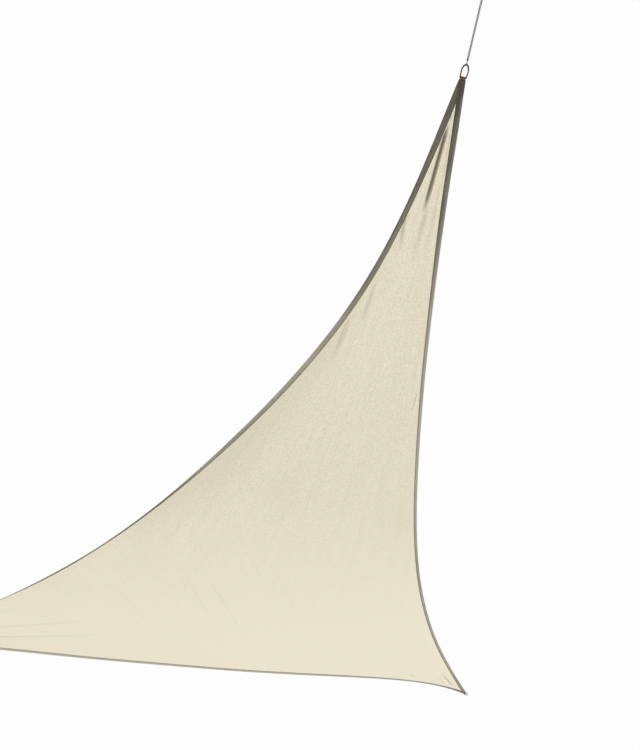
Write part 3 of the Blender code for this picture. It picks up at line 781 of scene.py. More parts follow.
@dataclass
class SailPlan:
    """The sail's corners, curved sides and hanging height."""

    tips: Rows = ((0.0004, 0.0, 0.0), (0.0, 5.000, 0.030), (-4.305, 2.505, -0.460))
    outs: Rows = ((0.325, -0.946), (0.445, 0.896), (-1.0, -0.033))
    sides: tuple[Side, ...] = (
        Side((0, 29, 82, 147, 221, 286, 334, 345, 309, 240, 155, 81, 37, 0),
             (0, 7, 9, 22, 30, 31, 33, 35, 36, 38, 38, 35, 10, 0), 0.16, 1.2),
        Side((0, 55, 135, 217, 284, 324, 344, 347, 320, 281, 210, 122, 57, 0),
             (0, 8, 11, 11, 5, 0, 0, 0, -2, -2, 0, 0, 0, 0), 0.13, 1.6),
        Side((0, 58, 144, 246, 353, 449, 512, 531, 514, 460, 349, 195, 87, 0),
             (0, -20, -58, -78, -78, -46, -45, -45, -20, -10, -10, -14, -4, 0), 0.30, 1.2),
    )
    tip_width: float = 26.6 * MM
    hem_width: float = 25.5 * MM
    hem_curl: float = 0.08
    straight_tail: float = 0.016
    belly_sag: float = 0.08
    tip_to_bar: float = 5.2 * MM
    bar_to_centre: float = 19 * MM
    fold_rise: float = 0.22

    def __post_init__(self) -> None:
        """Work out the corners' frames and the origin."""
        self.points = [np.array(tip) for tip in self.tips]
        self.up = unit(np.cross(self.points[1] - self.points[0], self.points[2] - self.points[0]))
        self.origin = self.bar_centre(Corner.NEAR) + self.axes(Corner.NEAR)[0] * self.bar_to_centre

    def axes(self, corner: Corner) -> tuple[Array, Array, Array]:
        """A corner's own directions.

        Args:
            corner: The corner.

        Returns:
            The outward, sideways and upward directions.
        """
        out = np.array((*self.outs[corner.value], 0.0))
        out = unit(unit(out) - self.up * (unit(out) @ self.up))
        return out, np.cross(self.up, out), self.up

    def bar_centre(self, corner: Corner) -> Array:
        """Return the middle of the straight bar of a corner's ring, from the near tip."""
        return self.points[corner.value] + self.axes(corner)[0] * self.tip_to_bar

    def place(self, corner: Corner) -> Matrix:
        """Find the placing of a corner.

        Args:
            corner: The corner.

        Returns:
            The placing: x sideways, y outward from the ring's bar, z up.
        """
        out, aside, up = self.axes(corner)
        spot = self.bar_centre(corner) - self.origin
        return Matrix([*([-aside[k], out[k], up[k], spot[k]] for k in range(3)), [0, 0, 0, 1]])

    def side_lines(self, number: int, shares: Array) -> dict[str, Array]:
        """Lines of one side's hem.

        Args:
            number: The side's row.
            shares: Where the lines are read, as shares of the side.

        Returns:
            The fold line, the outer line, the curl and the inward direction.
        """
        side = self.sides[number]
        half = self.tip_width / 2
        start, end = (
            self.points[corner.value] + self.axes(corner)[1] * aside
            for corner, aside in ((Corner(number), half), (Corner((number + 1) % 3), -half)))
        chord = end - start
        along = unit(chord)
        inward = self.points[(number + 2) % 3] - start
        inward = unit(inward - along * (inward @ along))
        step_in = smooth_rows(SHARES, np.array(side.inward_mm) * MM, shares)
        bow = (4 * shares * (1 - shares) - self.straight_tail) / (1 - self.straight_tail)
        bow = np.clip(bow, 0, 1) ** side.onset
        line = start + chord * shares[:, None] + inward * step_in[:, None]
        line = line - UP * (side.droop * bow)[:, None]
        ahead = unit(np.gradient(line, shares, axis=0))
        across = unit(np.cross(self.up, ahead))
        upward = np.cross(ahead, across)
        angle = np.radians(smooth_rows(SHARES, side.roll_deg, shares))[:, None]
        fold = line + self.hem_width * across
        outer = fold - self.hem_width * (np.cos(angle) * across - np.sin(angle) * upward)
        curl = self.hem_curl * angle / (math.pi / 2)
        curl = -self.hem_width * curl * (np.sin(angle) * across + np.cos(angle) * upward)
        return {"fold": fold - self.origin, "outer": outer - self.origin, "curl": curl,
                "inward": across}

    def apex(self, corner: int) -> tuple[float, float]:
        """Find where two fold lines cross.

        Args:
            corner: The corner's row.

        Returns:
            The crossing's share of the side before the corner and of the side after it.
        """
        before = np.linspace(0.90, 0.999, 1600)
        after = np.linspace(0.001, 0.10, 1600)
        one = self.side_lines((corner + 2) % 3, before)["fold"][:, None, :2]
        other = self.side_lines(corner, after)["fold"][None, :, :2]
        reach = np.linalg.norm(one - other, axis=2)[3:-3, 3:-3]
        row, column = np.unravel_index(reach.argmin(), reach.shape)
        return before[row + 3], after[column + 3]

    def fold_lines(self, count: int = 1500) -> list[Array]:
        """Read the fold lines, each from crossing to crossing.

        Args:
            count: Points of each line.

        Returns:
            The three lines, which share their ends.
        """
        crossings = [self.apex(corner) for corner in range(3)]
        fine = np.linspace(0, 1, 4001)
        lines = []
        for number in range(3):
            places = np.linspace(crossings[number][1], crossings[(number + 1) % 3][0], count)
            lines.append(read_rows(places, fine, self.side_lines(number, fine)["fold"]))
        for line, following in zip(lines, lines[1:] + lines[:1]):
            line[-1] = following[0] = (line[-1] + following[0]) / 2
        return lines

    def belly(self, points: Array) -> Array:
        """Sag below straight sides.

        Args:
            points: Points of the cloth, seen from above.

        Returns:
            The sag's height at each point, 0 at such a side.
        """
        shares = []
        for first in range(3):
            along = unit(self.points[(first + 1) % 3][:2] - self.points[first][:2])
            arm = points[:, :2] - (self.points[first][:2] - self.origin[:2])
            shares.append(np.abs(along[0] * arm[:, 1] - along[1] * arm[:, 0]))
        product = shares[0] * shares[1] * shares[2]
        return -self.belly_sag * 27 * product / (shares[0] + shares[1] + shares[2]) ** 3

    def creases(self, points: Array) -> tuple[Array, Array]:
        """Read the folds.

        Args:
            points: Points of the cloth, seen from above.

        Returns:
            The height that the folds add at each point and their painted shade, a painted highlight
            where it is below 0.
        """
        height = np.zeros(len(points))
        shade = np.zeros(len(points))
        flat = points[:, :2] + self.origin[:2]
        for fold in FOLDS:
            start, end = np.array(fold.run_mm).reshape(2, 2) * MM
            length = np.linalg.norm(end - start)
            along = (end - start) / length
            arm = flat - start
            share = arm @ along / length
            away = np.abs((along[0] * arm[:, 1] - along[1] * arm[:, 0]) / (fold.half_width_mm * MM))
            rounded = 0.5 * (1 + np.cos(np.pi * np.clip(away, 0, 1)))
            peaked = np.clip(1 - away, 0, 1)
            profile = rounded * (1 - fold.sharp) + (0.35 * rounded + 0.65 * peaked) * fold.sharp
            kept = fade(share, 0.0, self.fold_rise) * (1 - fade(share, fold.hold, 1.0))
            height += fold.height_mm * MM * profile * kept
            # painted shade along the fold, a painted highlight where crease is below 0
            width = 1 + fold.widening * np.clip(share, 0, 1)
            core = fade(1 - away / width, 0.0, 1.0) * kept * fold.crease
            shade = np.where(np.abs(core) > np.abs(shade), core, shade)
        return height, shade


# ---- cloth and hem
@dataclass
class ClothPanel:
    """The knitted panel inside the hems, one sheet on the hanging folds."""

    plan: SailPlan
    columns: int = 150
    finest: float = 3.5 * MM
    growth: float = 0.045
    coarsest: float = 26 * MM
    far_finest: float = 9 * MM
    crowding: float = 0.82
    rim_ease: float = 7 * MM
    rim_points: int = 120
    batch: int = 4000
    # a darker band inside the left hem, over part of the rows
    left_darkening_share: float = 0.36
    left_darkening_reach: tuple[float, float] = (0.62, 0.98)
    left_darkening_rise: tuple[float, float] = (0.04, 0.32)
    left_darkening_fall: tuple[float, float] = (0.36, 0.58)

    def row_shares(self, length: float) -> Array:
        """Space the rows, close together near both ends.

        Args:
            length: The side's length.

        Returns:
            The rows' distances from the near crossing, as shares of the side.
        """
        fine = np.linspace(0, length, 20001)
        gap = np.minimum(self.finest + self.growth * fine, self.coarsest)
        gap = np.minimum(gap, self.far_finest + self.growth * (length - fine))
        count = np.concatenate([[0], np.cumsum((fine[1] - fine[0]) / gap[1:])])
        rows = int(round(count[-1]))
        return np.interp(np.linspace(0, count[-1], rows + 1), count, fine) / length

    def resting_height(self, points: Array, ring: Array) -> Array:
        """Height of the hanging cloth: spanned over its closed rim by mean value coordinates,
        with a belly that leaves the rim where it is.

        Args:
            points: Where the surface is read, seen from above.
            ring: The rim, a closed line.

        Returns:
            The surface's height at each point.
        """
        heights = np.empty(len(points))
        rim = ring[:, 2] - self.plan.belly(ring)
        for low in range(0, len(points), self.batch):
            part = points[low : low + self.batch]
            arms = ring[None, :, :2] - part[:, None, :2]
            ahead = np.roll(arms, -1, axis=1)
            cross = arms[..., 0] * ahead[..., 1] - arms[..., 1] * ahead[..., 0]
            half = np.tan(np.arctan2(cross, (arms * ahead).sum(2)) / 2)
            weights = (half + np.roll(half, 1, axis=1)) / np.linalg.norm(arms, axis=2)
            heights[low : low + self.batch] = (weights * rim).sum(1) / weights.sum(1)
        return heights + self.plan.belly(points)

    def build(self) -> Piece:
        """Build the panel's mesh, dress it and return it."""
        right, far, left = self.plan.fold_lines()
        left = left[::-1]
        lengths = [travel(line)[-1] for line in (right, far, left)]
        rows = self.row_shares((lengths[0] + lengths[2]) / 2)
        even = np.linspace(0, 1, self.columns + 1)
        first = read_line(right, rows * lengths[0])
        second = read_line(left, rows * lengths[2])
        grid = np.empty((len(rows), len(even), 3))
        for row, share in enumerate(rows):
            across = even + (crowd(even, self.crowding) - even) * share**3
            bow = read_line(far, across * lengths[1])
            bow = bow - (far[0] * (1 - across)[:, None] + far[-1] * across[:, None])
            straight = first[row] * (1 - across)[:, None] + second[row] * across[:, None]
            grid[row] = straight + bow * share
        ring = np.concatenate([
            read_line(line, np.linspace(0, length, self.rim_points))[:-1]
            for line, length in zip((right, far, left[::-1]), lengths)])
        middle = grid[1:-1, 1:-1]
        inner = middle.reshape(-1, 3)
        height, crease = self.plan.creases(inner)
        rim = np.minimum.reduce([np.linalg.norm(middle - edge, axis=2) for edge in (
            grid[1:-1, :1], grid[1:-1, -1:], grid[-1:, 1:-1])]).ravel()
        inner = self.resting_height(inner, ring) + height * fade(rim, 0, self.rim_ease)
        grid[1:-1, 1:-1, 2] = inner.reshape(middle.shape[:2])
        faces = grid_faces(len(rows), len(even), False)
        flat = grid[..., :2].reshape(-1, 2)[faces]
        piece = make_piece("knitted_cloth", (grid.reshape(-1, 3), faces, flat, []), Finish.KNIT,
                           solid=False)
        left_darkening = self.left_darkening_share * fade(rows, *self.left_darkening_rise) * (1 - fade(rows, *self.left_darkening_fall))
        # painted shade of the creases, and painted highlights where the value is below 0
        paint(piece, "crease", np.pad(crease.reshape(middle.shape[:2]), 1))
        paint(piece, "left_darkening", left_darkening[:, None] * fade(even, *self.left_darkening_reach))
        return piece


# painted light on each hem, from 0 in painted shade to 1 fully lit: distance from its first corner,
# inner edge, outer edge
PAINTED_HEM_LIGHT = (
    ((0.00, -0.08, 0.02), (0.035, -0.06, 0.03), (0.06, -0.04, 0.20), (0.12, -0.02, 0.27),
     (0.25, 0.13, 0.28), (0.50, 0.11, 0.50), (0.75, 0.31, 0.82), (1.10, 0.62, 0.90),
     (1.90, 0.76, 1.00), (2.80, 0.62, 0.88), (3.90, 0.78, 0.90), (4.50, 0.74, 0.84),
     (4.85, 0.50, 0.72), (5.20, 0.32, 0.56)),
    ((0.00, 0.30, 0.30), (0.30, 0.60, 0.58), (0.90, 0.72, 0.72), (1.60, 0.86, 0.86),
     (4.00, 0.82, 0.82), (4.45, 0.66, 0.66), (4.80, 0.42, 0.42), (5.00, 0.36, 0.36)),
    ((0.00, 0.60, 0.60), (0.80, 0.50, 0.50), (1.50, 0.80, 0.80), (1.75, 0.60, 0.60),
     (2.00, 0.42, 0.42), (2.20, 0.24, 0.28), (2.42, 0.50, 0.54), (2.62, 0.12, 0.18),
     (2.85, 0.18, 0.26), (3.04, 0.32, 0.42), (3.23, 0.54, 0.70), (3.42, 0.44, 0.58),
     (3.60, 0.50, 0.68), (3.90, 0.60, 0.72), (4.15, 0.54, 0.54), (4.30, 0.42, 0.30),
     (4.45, 0.36, 0.20), (4.60, 0.38, 0.15), (4.78, 0.30, 0.11), (5.00, 0.17, 0.17),
     (5.10, 0.09, 0.15), (5.20, 0.09, 0.15)),
)


@dataclass
class HemBand:
    """A side's hem: the cloth's edge turned in, sewn down and rounded over its edge tape."""

    plan: SailPlan
    number: int
    rows: int = 420
    crowding: float = 0.88
    section_mm: Rows = ((-0.6, 0.55), (-0.36, 0.75), (0.0, 0.95), (4, 1.2), (9, 1.25),
                         (15, 1.25), (20, 1.4), (23, 1.75))
    rim_mm: tuple[float, float, float] = (-1.6, 1.9, 1.8)
    rim_deg: tuple[float, ...] = (60, 30, 0, -30, -60)
    thinned: float = 0.35
    thin_reach: tuple[float, float] = (0.006, 0.02)
    tail_offset: float = 0.85 * MM
    tail_reach: tuple[float, float] = (0.035, 0.075)
    seam_reaches: tuple[float, float] = (-0.5 * MM, 4.5 * MM)
    seam_height: float = 1.35 * MM

    def __post_init__(self) -> None:
        """Place the rows, crowded towards both corners, and read the side's lines there."""
        self.shares = crowd(np.linspace(0, 1, self.rows), self.crowding)
        fine = np.linspace(0, 1, 6001)
        self.lines = {name: read_rows(self.shares, fine, line)
                      for name, line in self.plan.side_lines(self.number, fine).items()}

    def layer_shift(self) -> Array:
        """Return how far the band stands over a tail's middle, below it where the side starts."""
        start = 1 - fade(self.shares, *self.tail_reach)
        end = 1 - fade(1 - self.shares, *self.tail_reach)
        return (end - start) * self.tail_offset

    def surface(self, reach: float, lift: float | Array) -> Array:
        """Points of the band.

        Args:
            reach: Distance from the fold line, outward above 0 and inward below it.
            lift: Height over the band's middle.

        Returns:
            One point for each row.
        """
        lines = self.lines
        part = max(reach, 0.0) / self.plan.hem_width
        run = lines["outer"] - lines["fold"]
        spot = lines["fold"] + run * part + lines["curl"] * 4 * part * (1 - part)
        spot = spot + lines["inward"] * max(-reach, 0.0)
        slope = run + lines["curl"] * 4 * (1 - 2 * part) if reach > 0 else -lines["inward"]
        normal = unit(np.cross(slope, unit(np.gradient(lines["fold"], axis=0))))
        return spot + normal * (lift + self.layer_shift())[:, None]

    def build(self) -> Piece:
        """Build the band's mesh, dress it and return it."""
        width = self.plan.hem_width
        thin = 1 - self.thinned * (1 - fade(self.shares, *self.thin_reach))
        thin = thin - self.thinned * (1 - fade(1 - self.shares, *self.thin_reach))
        section = [(reach * MM, half) for reach, half in self.section_mm]
        inset, radius, half_rim = self.rim_mm
        rim = [(width + (inset + radius * math.cos(a)) * MM, half_rim * math.sin(a))
               for a in map(math.radians, self.rim_deg)]
        outline = section + rim + [(reach, -half) for reach, half in reversed(section)]
        points = np.stack([self.surface(reach, half * MM * thin) for reach, half in outline], 1)
        run = travel(self.lines["fold"])
        lap = -section[0][0]
        across = np.array([(reach + lap) / (width + lap) for reach, _ in outline])
        name = "hem_" + ("right", "far", "left")[self.number]
        piece = make_piece(name, wrap(points, run, np.append(across, across[0])), Finish.HEM)
        # painted light and shade along and across the hem
        table = np.array(PAINTED_HEM_LIGHT[self.number])
        inner, outer = read_rows(run, table[:, 0], table[:, 1:]).T[:, :, None]
        paint(piece, "painted_hem_light", inner + (outer - inner) * np.clip(across, 0, 1) ** 1.5)
        return piece

    def seams(self, gap: float) -> list[Array]:
        """Lines on the band's skin that the stitches follow.

        Args:
            gap: The step between a line's points.

        Returns:
            The lines: for each seam, one on the lower skin and one on the upper.
        """
        lines = [self.surface(reach, sign * self.seam_height)
                 for reach in self.seam_reaches for sign in (-1, 1)]
        return [read_line(line, np.arange(gap, travel(line)[-1] - gap, gap)) for line in lines]


@dataclass
class StitchRows:
    """Lockstitches in rows along the hems and across the webbing, made by Geometry Nodes."""

    name: str
    pitch: float
    length: float
    thread: float
    slant: float = 8.0
    slant_spread: tuple[float, float] = (0.7, 1.3)
    seed: int = 7

    def tree(self) -> bpy.types.NodeTree:
        """Build the node tree: a long bead on every point of the rows, laid along its row."""
        tree = bpy.data.node_groups.new("stitches_" + self.name, "GeometryNodeTree")
        tree.interface.new_socket("Geometry", in_out="OUTPUT", socket_type="NodeSocketGeometry")
        for label, kind in (("Rows", "Geometry"), ("Pitch", "Float"), ("Stitch length", "Float"),
                            ("Thread radius", "Float"), ("Slant", "Float"), ("Seed", "Int")):
            tree.interface.new_socket(label, in_out="INPUT", socket_type="NodeSocket" + kind)
        nodes = Nodes(tree)
        start = tree.nodes.new("NodeGroupInput").outputs
        rows = nodes.add("GeometryNodeMeshToCurve", {"Mesh": start["Rows"]})
        points = nodes.add("GeometryNodeResampleCurve", {"Curve": rows, "Length": start["Pitch"]},
                           mode="LENGTH")
        turn = nodes.add("FunctionNodeAlignRotationToVector",
                         {"Vector": nodes.add("GeometryNodeInputTangent")}, axis="X")
        jitter = nodes.add("FunctionNodeRandomValue", {
            "Seed": start["Seed"], "Min": self.slant_spread[0], "Max": self.slant_spread[1]},
            "Value", data_type="FLOAT")
        slant = nodes.math("MULTIPLY", start["Slant"], jitter)
        twist = nodes.add("ShaderNodeCombineXYZ", {"Z": slant})
        local = nodes.add("FunctionNodeEulerToRotation", {"Euler": twist})
        laid = nodes.add("FunctionNodeRotateRotation", {"Rotation": turn, "Rotate By": local},
                         rotation_space="LOCAL")
        bead = nodes.add("GeometryNodeMeshIcoSphere", {"Radius": 1.0, "Subdivisions": 1})
        size = nodes.add("ShaderNodeCombineXYZ", {
            "X": start["Stitch length"], "Y": start["Thread radius"], "Z": start["Thread radius"]})
        shape = nodes.add("GeometryNodeInstanceOnPoints", {
            "Points": points, "Instance": bead, "Rotation": laid, "Scale": size})
        for kind in ("GeometryNodeRealizeInstances", "GeometryNodeSetShadeSmooth"):
            shape = nodes.add(kind, {"Geometry": shape})
        shape = nodes.add("GeometryNodeSetMaterial", {
            "Geometry": shape, "Material": Finish.THREAD.material()})
        nodes.add("NodeGroupOutput", {0: shape})
        return tree

    def build(self, rows: list[Array]) -> Piece:
        """Sew the rows.

        Args:
            rows: The lines that the stitches follow.

        Returns:
            One plain mesh object with all the stitches.
        """
        guide = bpy.data.meshes.new("stitch_rows")
        ends = np.cumsum([len(row) for row in rows])
        edges = [(k, k + 1) for k in range(ends[-1] - 1) if k + 1 not in ends]
        guide.from_pydata(np.concatenate(rows).tolist(), edges, [])
        sewer = add_object("stitch_rows", guide)
        modifier = sewer.modifiers.new("stitches", "NODES")
        modifier.node_group = self.tree()
        values = {"Pitch": self.pitch, "Stitch length": self.length / 2,
                  "Thread radius": self.thread, "Slant": math.radians(self.slant),
                  "Seed": self.seed}
        for item in modifier.node_group.interface.items_tree:
            if item.in_out == "INPUT" and item.name in values:
                modifier[item.identifier] = values[item.name]
        graph = bpy.context.evaluated_depsgraph_get()
        mesh = bpy.data.meshes.new_from_object(sewer.evaluated_get(graph))
        bpy.data.objects.remove(sewer)
        mesh.name = "stitches_" + self.name
        if not mesh.uv_layers:
            mesh.uv_layers.new(name="Cloth")
        return add_object(mesh.name, mesh)


# ---- corners
@dataclass
class CornerRing:
    """Bent wire ring, straight along its bar and rounded at its outer end."""

    plan: SailPlan
    corner: Corner
    wire_radius: float = 2.8 * MM
    sides: int = 20
    step: float = 0.9 * MM
    outline_mm: Rows = (
        (0, 0), (0, 5.5), (0, 9.8), (0.9, 11.5), (2.9, 12.4), (6, 12.7), (10.5, 13), (15, 13.5),
        (20, 13.8), (24, 13.6), (28, 13), (31.5, 11.8), (34.8, 10.2), (38.2, 8.1), (41, 5.6),
        (42.9, 2.9), (43.6, 0))

    def build(self) -> Piece:
        """Build the ring's mesh, dress it and return it."""
        half = [(width * MM, reach * MM) for reach, width in self.outline_mm]
        other = [(-width, reach) for width, reach in half[-2::-1]]
        line = smooth_path(half + other, self.step)[:-1]
        line = np.c_[line, np.zeros(len(line))]
        skin = tube(line, self.wire_radius, self.sides, closed=True, facing=UP)
        piece = make_piece("wire_ring_" + self.corner.name.lower(), skin, Finish.RING_STEEL)
        piece.data.transform(self.plan.place(self.corner))
        return piece


@dataclass
class WebbingLoop:
    """Webbing folded round a ring's bar, its two legs sewn over and under the tail."""

    plan: SailPlan
    corner: Corner
    width: float = 20 * MM
    thick: float = 1.5 * MM
    leg: float = 7.5 * MM
    leg_height: float = 2.85 * MM
    bend: float = 3.85 * MM
    step: float = 0.7 * MM
    easing: Rows = ((-1.0, 0.0), (-0.6, 0.0), (-0.3, 0.35), (-0.1, 0.90))
    edge: Rows = ((1.0, 0.55), (0.985, 0.85), (0.96, 1.0), (0.5, 1.0), (0.0, 1.0), (-0.5, 1.0),
                   (-0.96, 1.0), (-0.985, 0.85), (-1.0, 0.55))
    seam_inset: float = 2.2 * MM
    seam_lift: float = 0.15 * MM
    seam_ends: tuple[float, float] = (-0.84, -0.30)

    def profile(self) -> Array:
        """Return the webbing's middle seen from the side: reach and height of each point."""
        over = [(part * self.leg, self.leg_height + rise * (self.bend - self.leg_height))
                for part, rise in self.easing]
        bent = arc(self.bend, [math.pi / 2 - math.pi * step / 12 for step in range(13)])
        return smooth_path(over + bent + [(reach, -height) for reach, height in reversed(over)],
                           self.step)

    def build(self) -> Piece:
        """Build the webbing's mesh, dress it and return it."""
        rows = self.profile()
        ahead = unit(np.gradient(rows, axis=0))
        normal = np.stack([-ahead[:, 1], ahead[:, 0]], 1)
        half = self.width / 2
        outline = [*self.edge, *((x, -z) for x, z in reversed(self.edge))]
        points = [[(x * half, *(spot + n * z * self.thick / 2)) for x, z in outline]
                  for spot, n in zip(rows, normal)]
        across = np.array([x * half for x, _ in outline + outline[:1]])
        piece = make_piece("webbing_" + self.corner.name.lower(),
                           wrap(np.array(points), travel(rows), across), Finish.WEBBING)
        piece.data.transform(self.plan.place(self.corner))
        return piece

    def seams(self) -> list[Array]:
        """Return the rows of stitches that hold each leg: a box and its diagonal."""
        matrix = np.array(self.plan.place(self.corner))
        half = self.width / 2 - self.seam_inset
        near, far = (part * self.leg for part in self.seam_ends)
        rows = []
        for sign in (-1, 1):
            height = sign * (self.leg_height + self.thick / 2 + self.seam_lift)
            box = [(x, y, height) for x, y in (
                (-half, near), (half, near), (half, far), (-half, far), (-half, near))]
            rows += [np.array(box), np.array([box[0], box[2]])]
        return [row @ matrix[:3, :3].T + matrix[:3, 3] for row in rows]


# ---- tie rope
@dataclass
class RopeRun:
    """The line of the near corner's tie rope, from its hook at the ring to its outer eye."""

    plan: SailPlan
    diameter: float = 8 * MM
    plan_angle: float = 17.8
    rise: float = 8.0
    apex_reach: float = 43.6 * MM
    path_mm: Rows = (
        (18.3, 0), (40, 0), (80, 0), (120, 0), (156.4, 0), (181.4, -0.6), (201.4, -3.4),
        (214.4, -4.6), (226.4, -4.7), (236.4, -4.7), (246.4, -6), (256.4, -9.8), (268.4, -13.5),
        (281.4, -11.2), (287.9, 0), (281.4, 11.2), (268.4, 13.5), (256.4, 9.8), (246.4, 6),
        (236.4, 4.7), (226.4, 4.7), (214.4, 5), (204.4, 6))

    def __post_init__(self) -> None:
        """Work out the rope's directions."""
        angle, rise = math.radians(self.plan_angle), math.radians(self.rise)
        flat = np.array((math.sin(angle), -math.cos(angle), 0.0))
        self.out = flat * math.cos(rise) + UP * math.sin(rise)
        self.aside = unit(np.cross(UP, self.out))
        self.up = np.cross(self.out, self.aside)
        self.apex = self.plan.bar_centre(Corner.NEAR) - self.plan.origin
        self.apex = self.apex + self.plan.axes(Corner.NEAR)[0] * self.apex_reach

    def put(self, rows: Array) -> Array:
        """Turn places along the rope into points of the frame.

        Args:
            rows: Rows of reach, height and, where given, side.

        Returns:
            The points.
        """
        rows = np.asarray(rows, float)
        points = self.apex + rows[:, :1] * self.out + rows[:, 1:2] * self.up
        return points + rows[:, 2:3] * self.aside if rows.shape[1] > 2 else points

    def line(self, step: float) -> tuple[Array, Array]:
        """Lay out the rope's centreline.

        Args:
            step: The distance between its points.

        Returns:
            The points and the line's normal at each.
        """
        rows = smooth_path(np.array(self.path_mm) * MM, step)
        ahead = unit(np.gradient(rows, axis=0))
        return self.put(rows), self.up * ahead[:, :1] - self.out * ahead[:, 1:2]


@dataclass
class LaidRope:
    """Four strands laid round each other, two dark and two pale, with an eye at the outer end."""

    run: RopeRun
    lay: float = 33 * MM
    strands: int = 4
    sides: int = 10
    step: float = 1.3 * MM
    strand_share: float = 0.44
    widen: float = 1.12

    def build(self) -> tuple[Piece, Array]:
        """Build the rope's mesh, dress it and return it with its centreline."""
        line, normal = self.run.line(self.step)
        strand = self.run.diameter / 2 * self.strand_share
        skins = []
        for number in range(self.strands):
            turn = 2 * np.pi * (number / self.strands + travel(line) / self.lay)
            side = self.run.aside * np.cos(turn)[:, None] + normal * np.sin(turn)[:, None]
            skins.append(tube(line + side * (self.run.diameter / 2 - strand), strand, self.sides,
                              facing=side, widen=self.widen))
        piece = make_piece("laid_rope", join(skins), Finish.DARK_STRAND, Finish.PALE_STRAND)
        slots = [number % 2 for number, skin in enumerate(skins) for _ in skin[1]]
        slots += [number % 2 for number, skin in enumerate(skins) for _ in skin[3]]
        piece.data.polygons.foreach_set("material_index", slots)
        return piece, line


@dataclass
class RopeHook:
    """Bent wire from the rope's end round the near ring."""

    run: RopeRun
    wire_radius: float = 1.4 * MM
    bend: float = 4.6 * MM
    turn: tuple[float, float] = (35.0, 318.0)
    neck: Rows = ((0.0085, 0.0), (0.0070, 0.0001), (0.0056, 0.0009))
    point: tuple[float, ...] = (0.96, 0.8, 0.45)
    sides: int = 16
    step: float = 0.45 * MM

    def build(self) -> Piece:
        """Build the hook's mesh, dress it and return it."""
        rows = [*self.neck, *arc(self.bend, np.radians(np.linspace(*self.turn, 19)))]
        line = self.run.put(smooth_path(rows, self.step))
        radius = np.full(len(line), self.wire_radius)
        radius[-len(self.point):] *= self.point
        skin = tube(line, radius, self.sides, facing=self.run.aside)
        return make_piece("rope_end_hook", skin, Finish.HOOK_STEEL)


@dataclass
class Whipping:
    """Twine wound tightly round the rope, each turn beside the last."""

    run: RopeRun
    twine: float = 0.55 * MM
    packing: float = 0.96
    cone_ends: tuple[float, float] = (0.0088, 0.0180)
    cone_radii: tuple[float, float] = (0.0023, 0.0040)
    core_inset: float = 0.2 * MM
    sleeve_start: float = 0.2164
    sleeve_length: float = 0.0180
    half_gap: float = 0.0047
    slack: float = 0.5 * MM
    sides: int = 8
    core_sides: int = 16

    def wind(self, start: float, length: float, points: int) -> tuple[Array, Array, Array]:
        """Space a winding's points.

        Args:
            start: How far out it begins.
            length: Its length along the rope.
            points: Points in each turn.

        Returns:
            The turns, the share of the length and the reach at each point.
        """
        turns = length / (2 * self.twine * self.packing)
        steps = np.linspace(0, turns, int(turns * points))
        share = steps / turns
        return steps, share, start + self.twine + (length - 2 * self.twine) * share

    def cone(self) -> Piece:
        """Wind the cone between the hook's neck and the rope, over a core, and return it."""
        (low, high), (thin, thick) = self.cone_ends, self.cone_radii
        steps, share, reach = self.wind(low, high - low, 26)
        radius = thin + (thick - thin) * share - self.twine
        angle = 2 * np.pi * steps
        rows = np.stack([reach, radius * np.sin(angle), radius * np.cos(angle)], 1)
        core = np.array([(low + self.core_inset, 0, 0), (high - self.core_inset, 0, 0)])
        core = tube(self.run.put(core), np.array(self.cone_radii) - 1.4 * self.twine,
                    self.core_sides, facing=self.run.aside)
        twine = tube(self.run.put(rows), self.twine, self.sides)
        return make_piece("twine_near", join([twine, core]), Finish.TWINE)

    def sleeve(self) -> Piece:
        """Wind the sleeve that closes the outer eye round both parts of the rope, and return it."""
        steps, _, reach = self.wind(self.sleeve_start, self.sleeve_length, 40)
        bend = self.run.diameter / 2 + self.slack + self.twine
        half_girth = np.pi * bend + 2 * self.half_gap
        spot = (steps % 1.0) * 2 * half_girth
        sign = np.where(spot < half_girth, 1.0, -1.0)
        spot = spot % half_girth
        bent = spot < np.pi * bend
        rise = np.where(bent, bend * np.sin(spot / bend), np.pi * bend - spot)
        height = sign * (self.half_gap + rise)
        side = sign * bend * np.where(bent, np.cos(spot / bend), -1.0)
        rows = self.run.put(np.stack([reach, height, side], 1))
        return make_piece("twine_outer", tube(rows, self.twine, self.sides), Finish.TWINE)


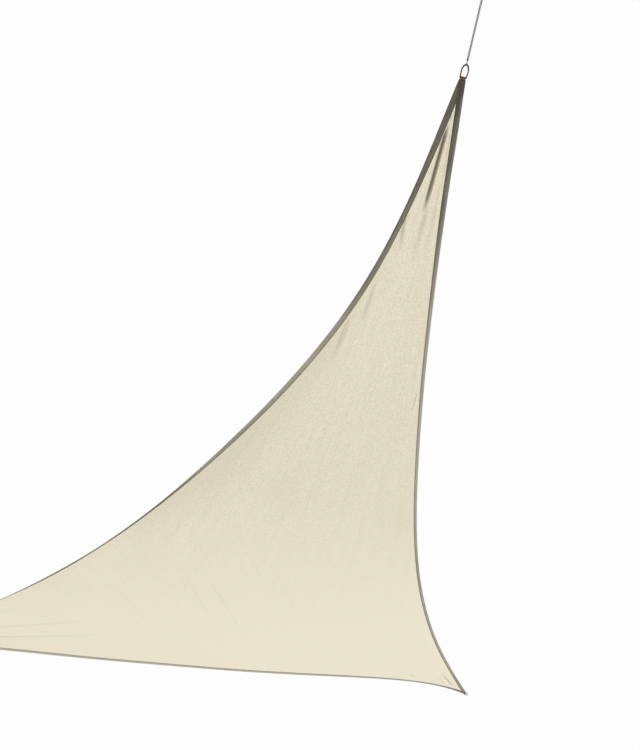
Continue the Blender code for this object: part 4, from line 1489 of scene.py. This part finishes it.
# ---- studio
@dataclass
class Studio:
    """Camera, floor and soft light."""

    camera_place: tuple[float, float, float] = (-0.52196, -0.16767, -2.18218)
    pitch: float = 56.4
    heading: float = 9.349
    focal: float = 23.76
    sensor: float = 36.0
    shift: tuple[float, float] = (-0.00047, 0.00033)
    clip: tuple[float, float] = (0.02, 200.0)
    floor_height: float = -3.70
    floor_half: float = 30.0
    backdrop: float = 0.985
    ambient: float = 0.30
    ambient_colour: str = "#F4F6FA"
    key_strength: float = 2.6
    key_colour: tuple[float, float, float] = (1.0, 0.985, 0.955)
    key_towards: tuple[float, float, float] = (0.50, 0.18, -0.85)
    key_spread: float = 16.0

    def camera(self) -> None:
        """Stand the camera where the photograph was taken."""
        data = bpy.data.cameras.new("camera")
        data.sensor_fit = "VERTICAL"
        data.sensor_height = self.sensor
        data.lens = self.focal
        data.shift_x, data.shift_y = self.shift
        data.clip_start, data.clip_end = self.clip
        camera = add_object("camera", data)
        camera.location = self.camera_place
        camera.rotation_euler = (math.radians(90 + self.pitch), 0, math.radians(self.heading))
        bpy.context.scene.camera = camera

    def light(self) -> None:
        """Light the sail from above and from its left, over a white backdrop."""
        scene = bpy.context.scene
        scene.view_settings.view_transform = "Standard"
        scene.world = bpy.data.worlds.new("studio")
        scene.world.use_nodes = True
        scene.world.node_tree.nodes.clear()
        nodes = Nodes(scene.world.node_tree)
        soft, white = (nodes.add("ShaderNodeBackground", {"Color": colour, "Strength": strength})
                       for colour, strength in ((linear(self.ambient_colour), self.ambient),
                                                ((1, 1, 1, 1), self.backdrop)))
        seen = nodes.add("ShaderNodeLightPath", out="Is Camera Ray")
        both = nodes.add("ShaderNodeMixShader", {"Fac": seen, 1: soft, 2: white})
        nodes.add("ShaderNodeOutputWorld", {"Surface": both})
        key = bpy.data.lights.new("key", "SUN")
        key.energy = self.key_strength
        key.angle = math.radians(self.key_spread)
        key.color = self.key_colour
        towards = unit(np.array(self.key_towards))
        side = unit(np.cross(UP, -towards))
        rows = np.stack([side, np.cross(-towards, side), -towards], 1)
        add_object("key", key).rotation_euler = Matrix(rows.tolist()).to_euler()

    def floor(self) -> Piece:
        """Lay the plain pale floor."""
        half, height = self.floor_half, self.floor_height
        corners = np.array([(-half, -half, height), (half, -half, height), (half, half, height),
                            (-half, half, height)])
        return make_piece("floor", (corners, np.array([(0, 1, 2, 3)]), None, []), Finish.FLOOR,
                          solid=False)


def declare(piece: Piece, node: str | None = None) -> None:
    """Hang a piece on the part's one body and hide the solid that it stands for.

    Args:
        piece: The piece, which rides on the part's one body.
        node: The node of the part that it stands for, if any.
    """
    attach(piece, "root")
    if node:
        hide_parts(node)
    LOG.info("%s: %d faces", piece.name, len(piece.data.polygons))


def main() -> None:
    """Build every piece, dress it, hang it on the part's body and hide the solid that it stands
    for.
    """
    logging.basicConfig(level=logging.INFO, format="%(message)s")
    studio = Studio()
    studio.camera()
    plan = SailPlan()
    run = RopeRun(plan)
    rope, line = LaidRope(run).build()
    fittings = [RopeHook(run).build(), Whipping(run).cone(), Whipping(run).sleeve()]
    declare(rope, "rope")
    for piece, slot, node in zip(fittings, ("hook_wire", "twine", "twine"),
                                 ("rope_hook", "whipping_near", "whipping_outer")):
        declare(piece, node)

    webbing_seams = []
    for corner in Corner:
        webbing = WebbingLoop(plan, corner)
        declare(CornerRing(plan, corner).build(), "ring_" + corner.name.lower())
        declare(webbing.build(), "strap_" + corner.name.lower())
        webbing_seams += webbing.seams()

    cloth = ClothPanel(plan).build()
    bands = [HemBand(plan, number) for number in range(3)]
    hems = [band.build() for band in bands]
    sewing = StitchRows("hems", pitch=9 * MM, length=6.5 * MM, thread=0.7 * MM)
    stitches = sewing.build([seam for band in bands for seam in band.seams(sewing.pitch)])
    sewing = StitchRows("webbing", pitch=2.2 * MM, length=1.7 * MM, thread=0.35 * MM)
    webbing_stitches = sewing.build(webbing_seams)
    for piece in [cloth, *hems]:
        declare(piece, "sail")
    declare(stitches)
    declare(webbing_stitches)

    studio.light()
    studio.floor()


if __name__ == "__main__":
    main()
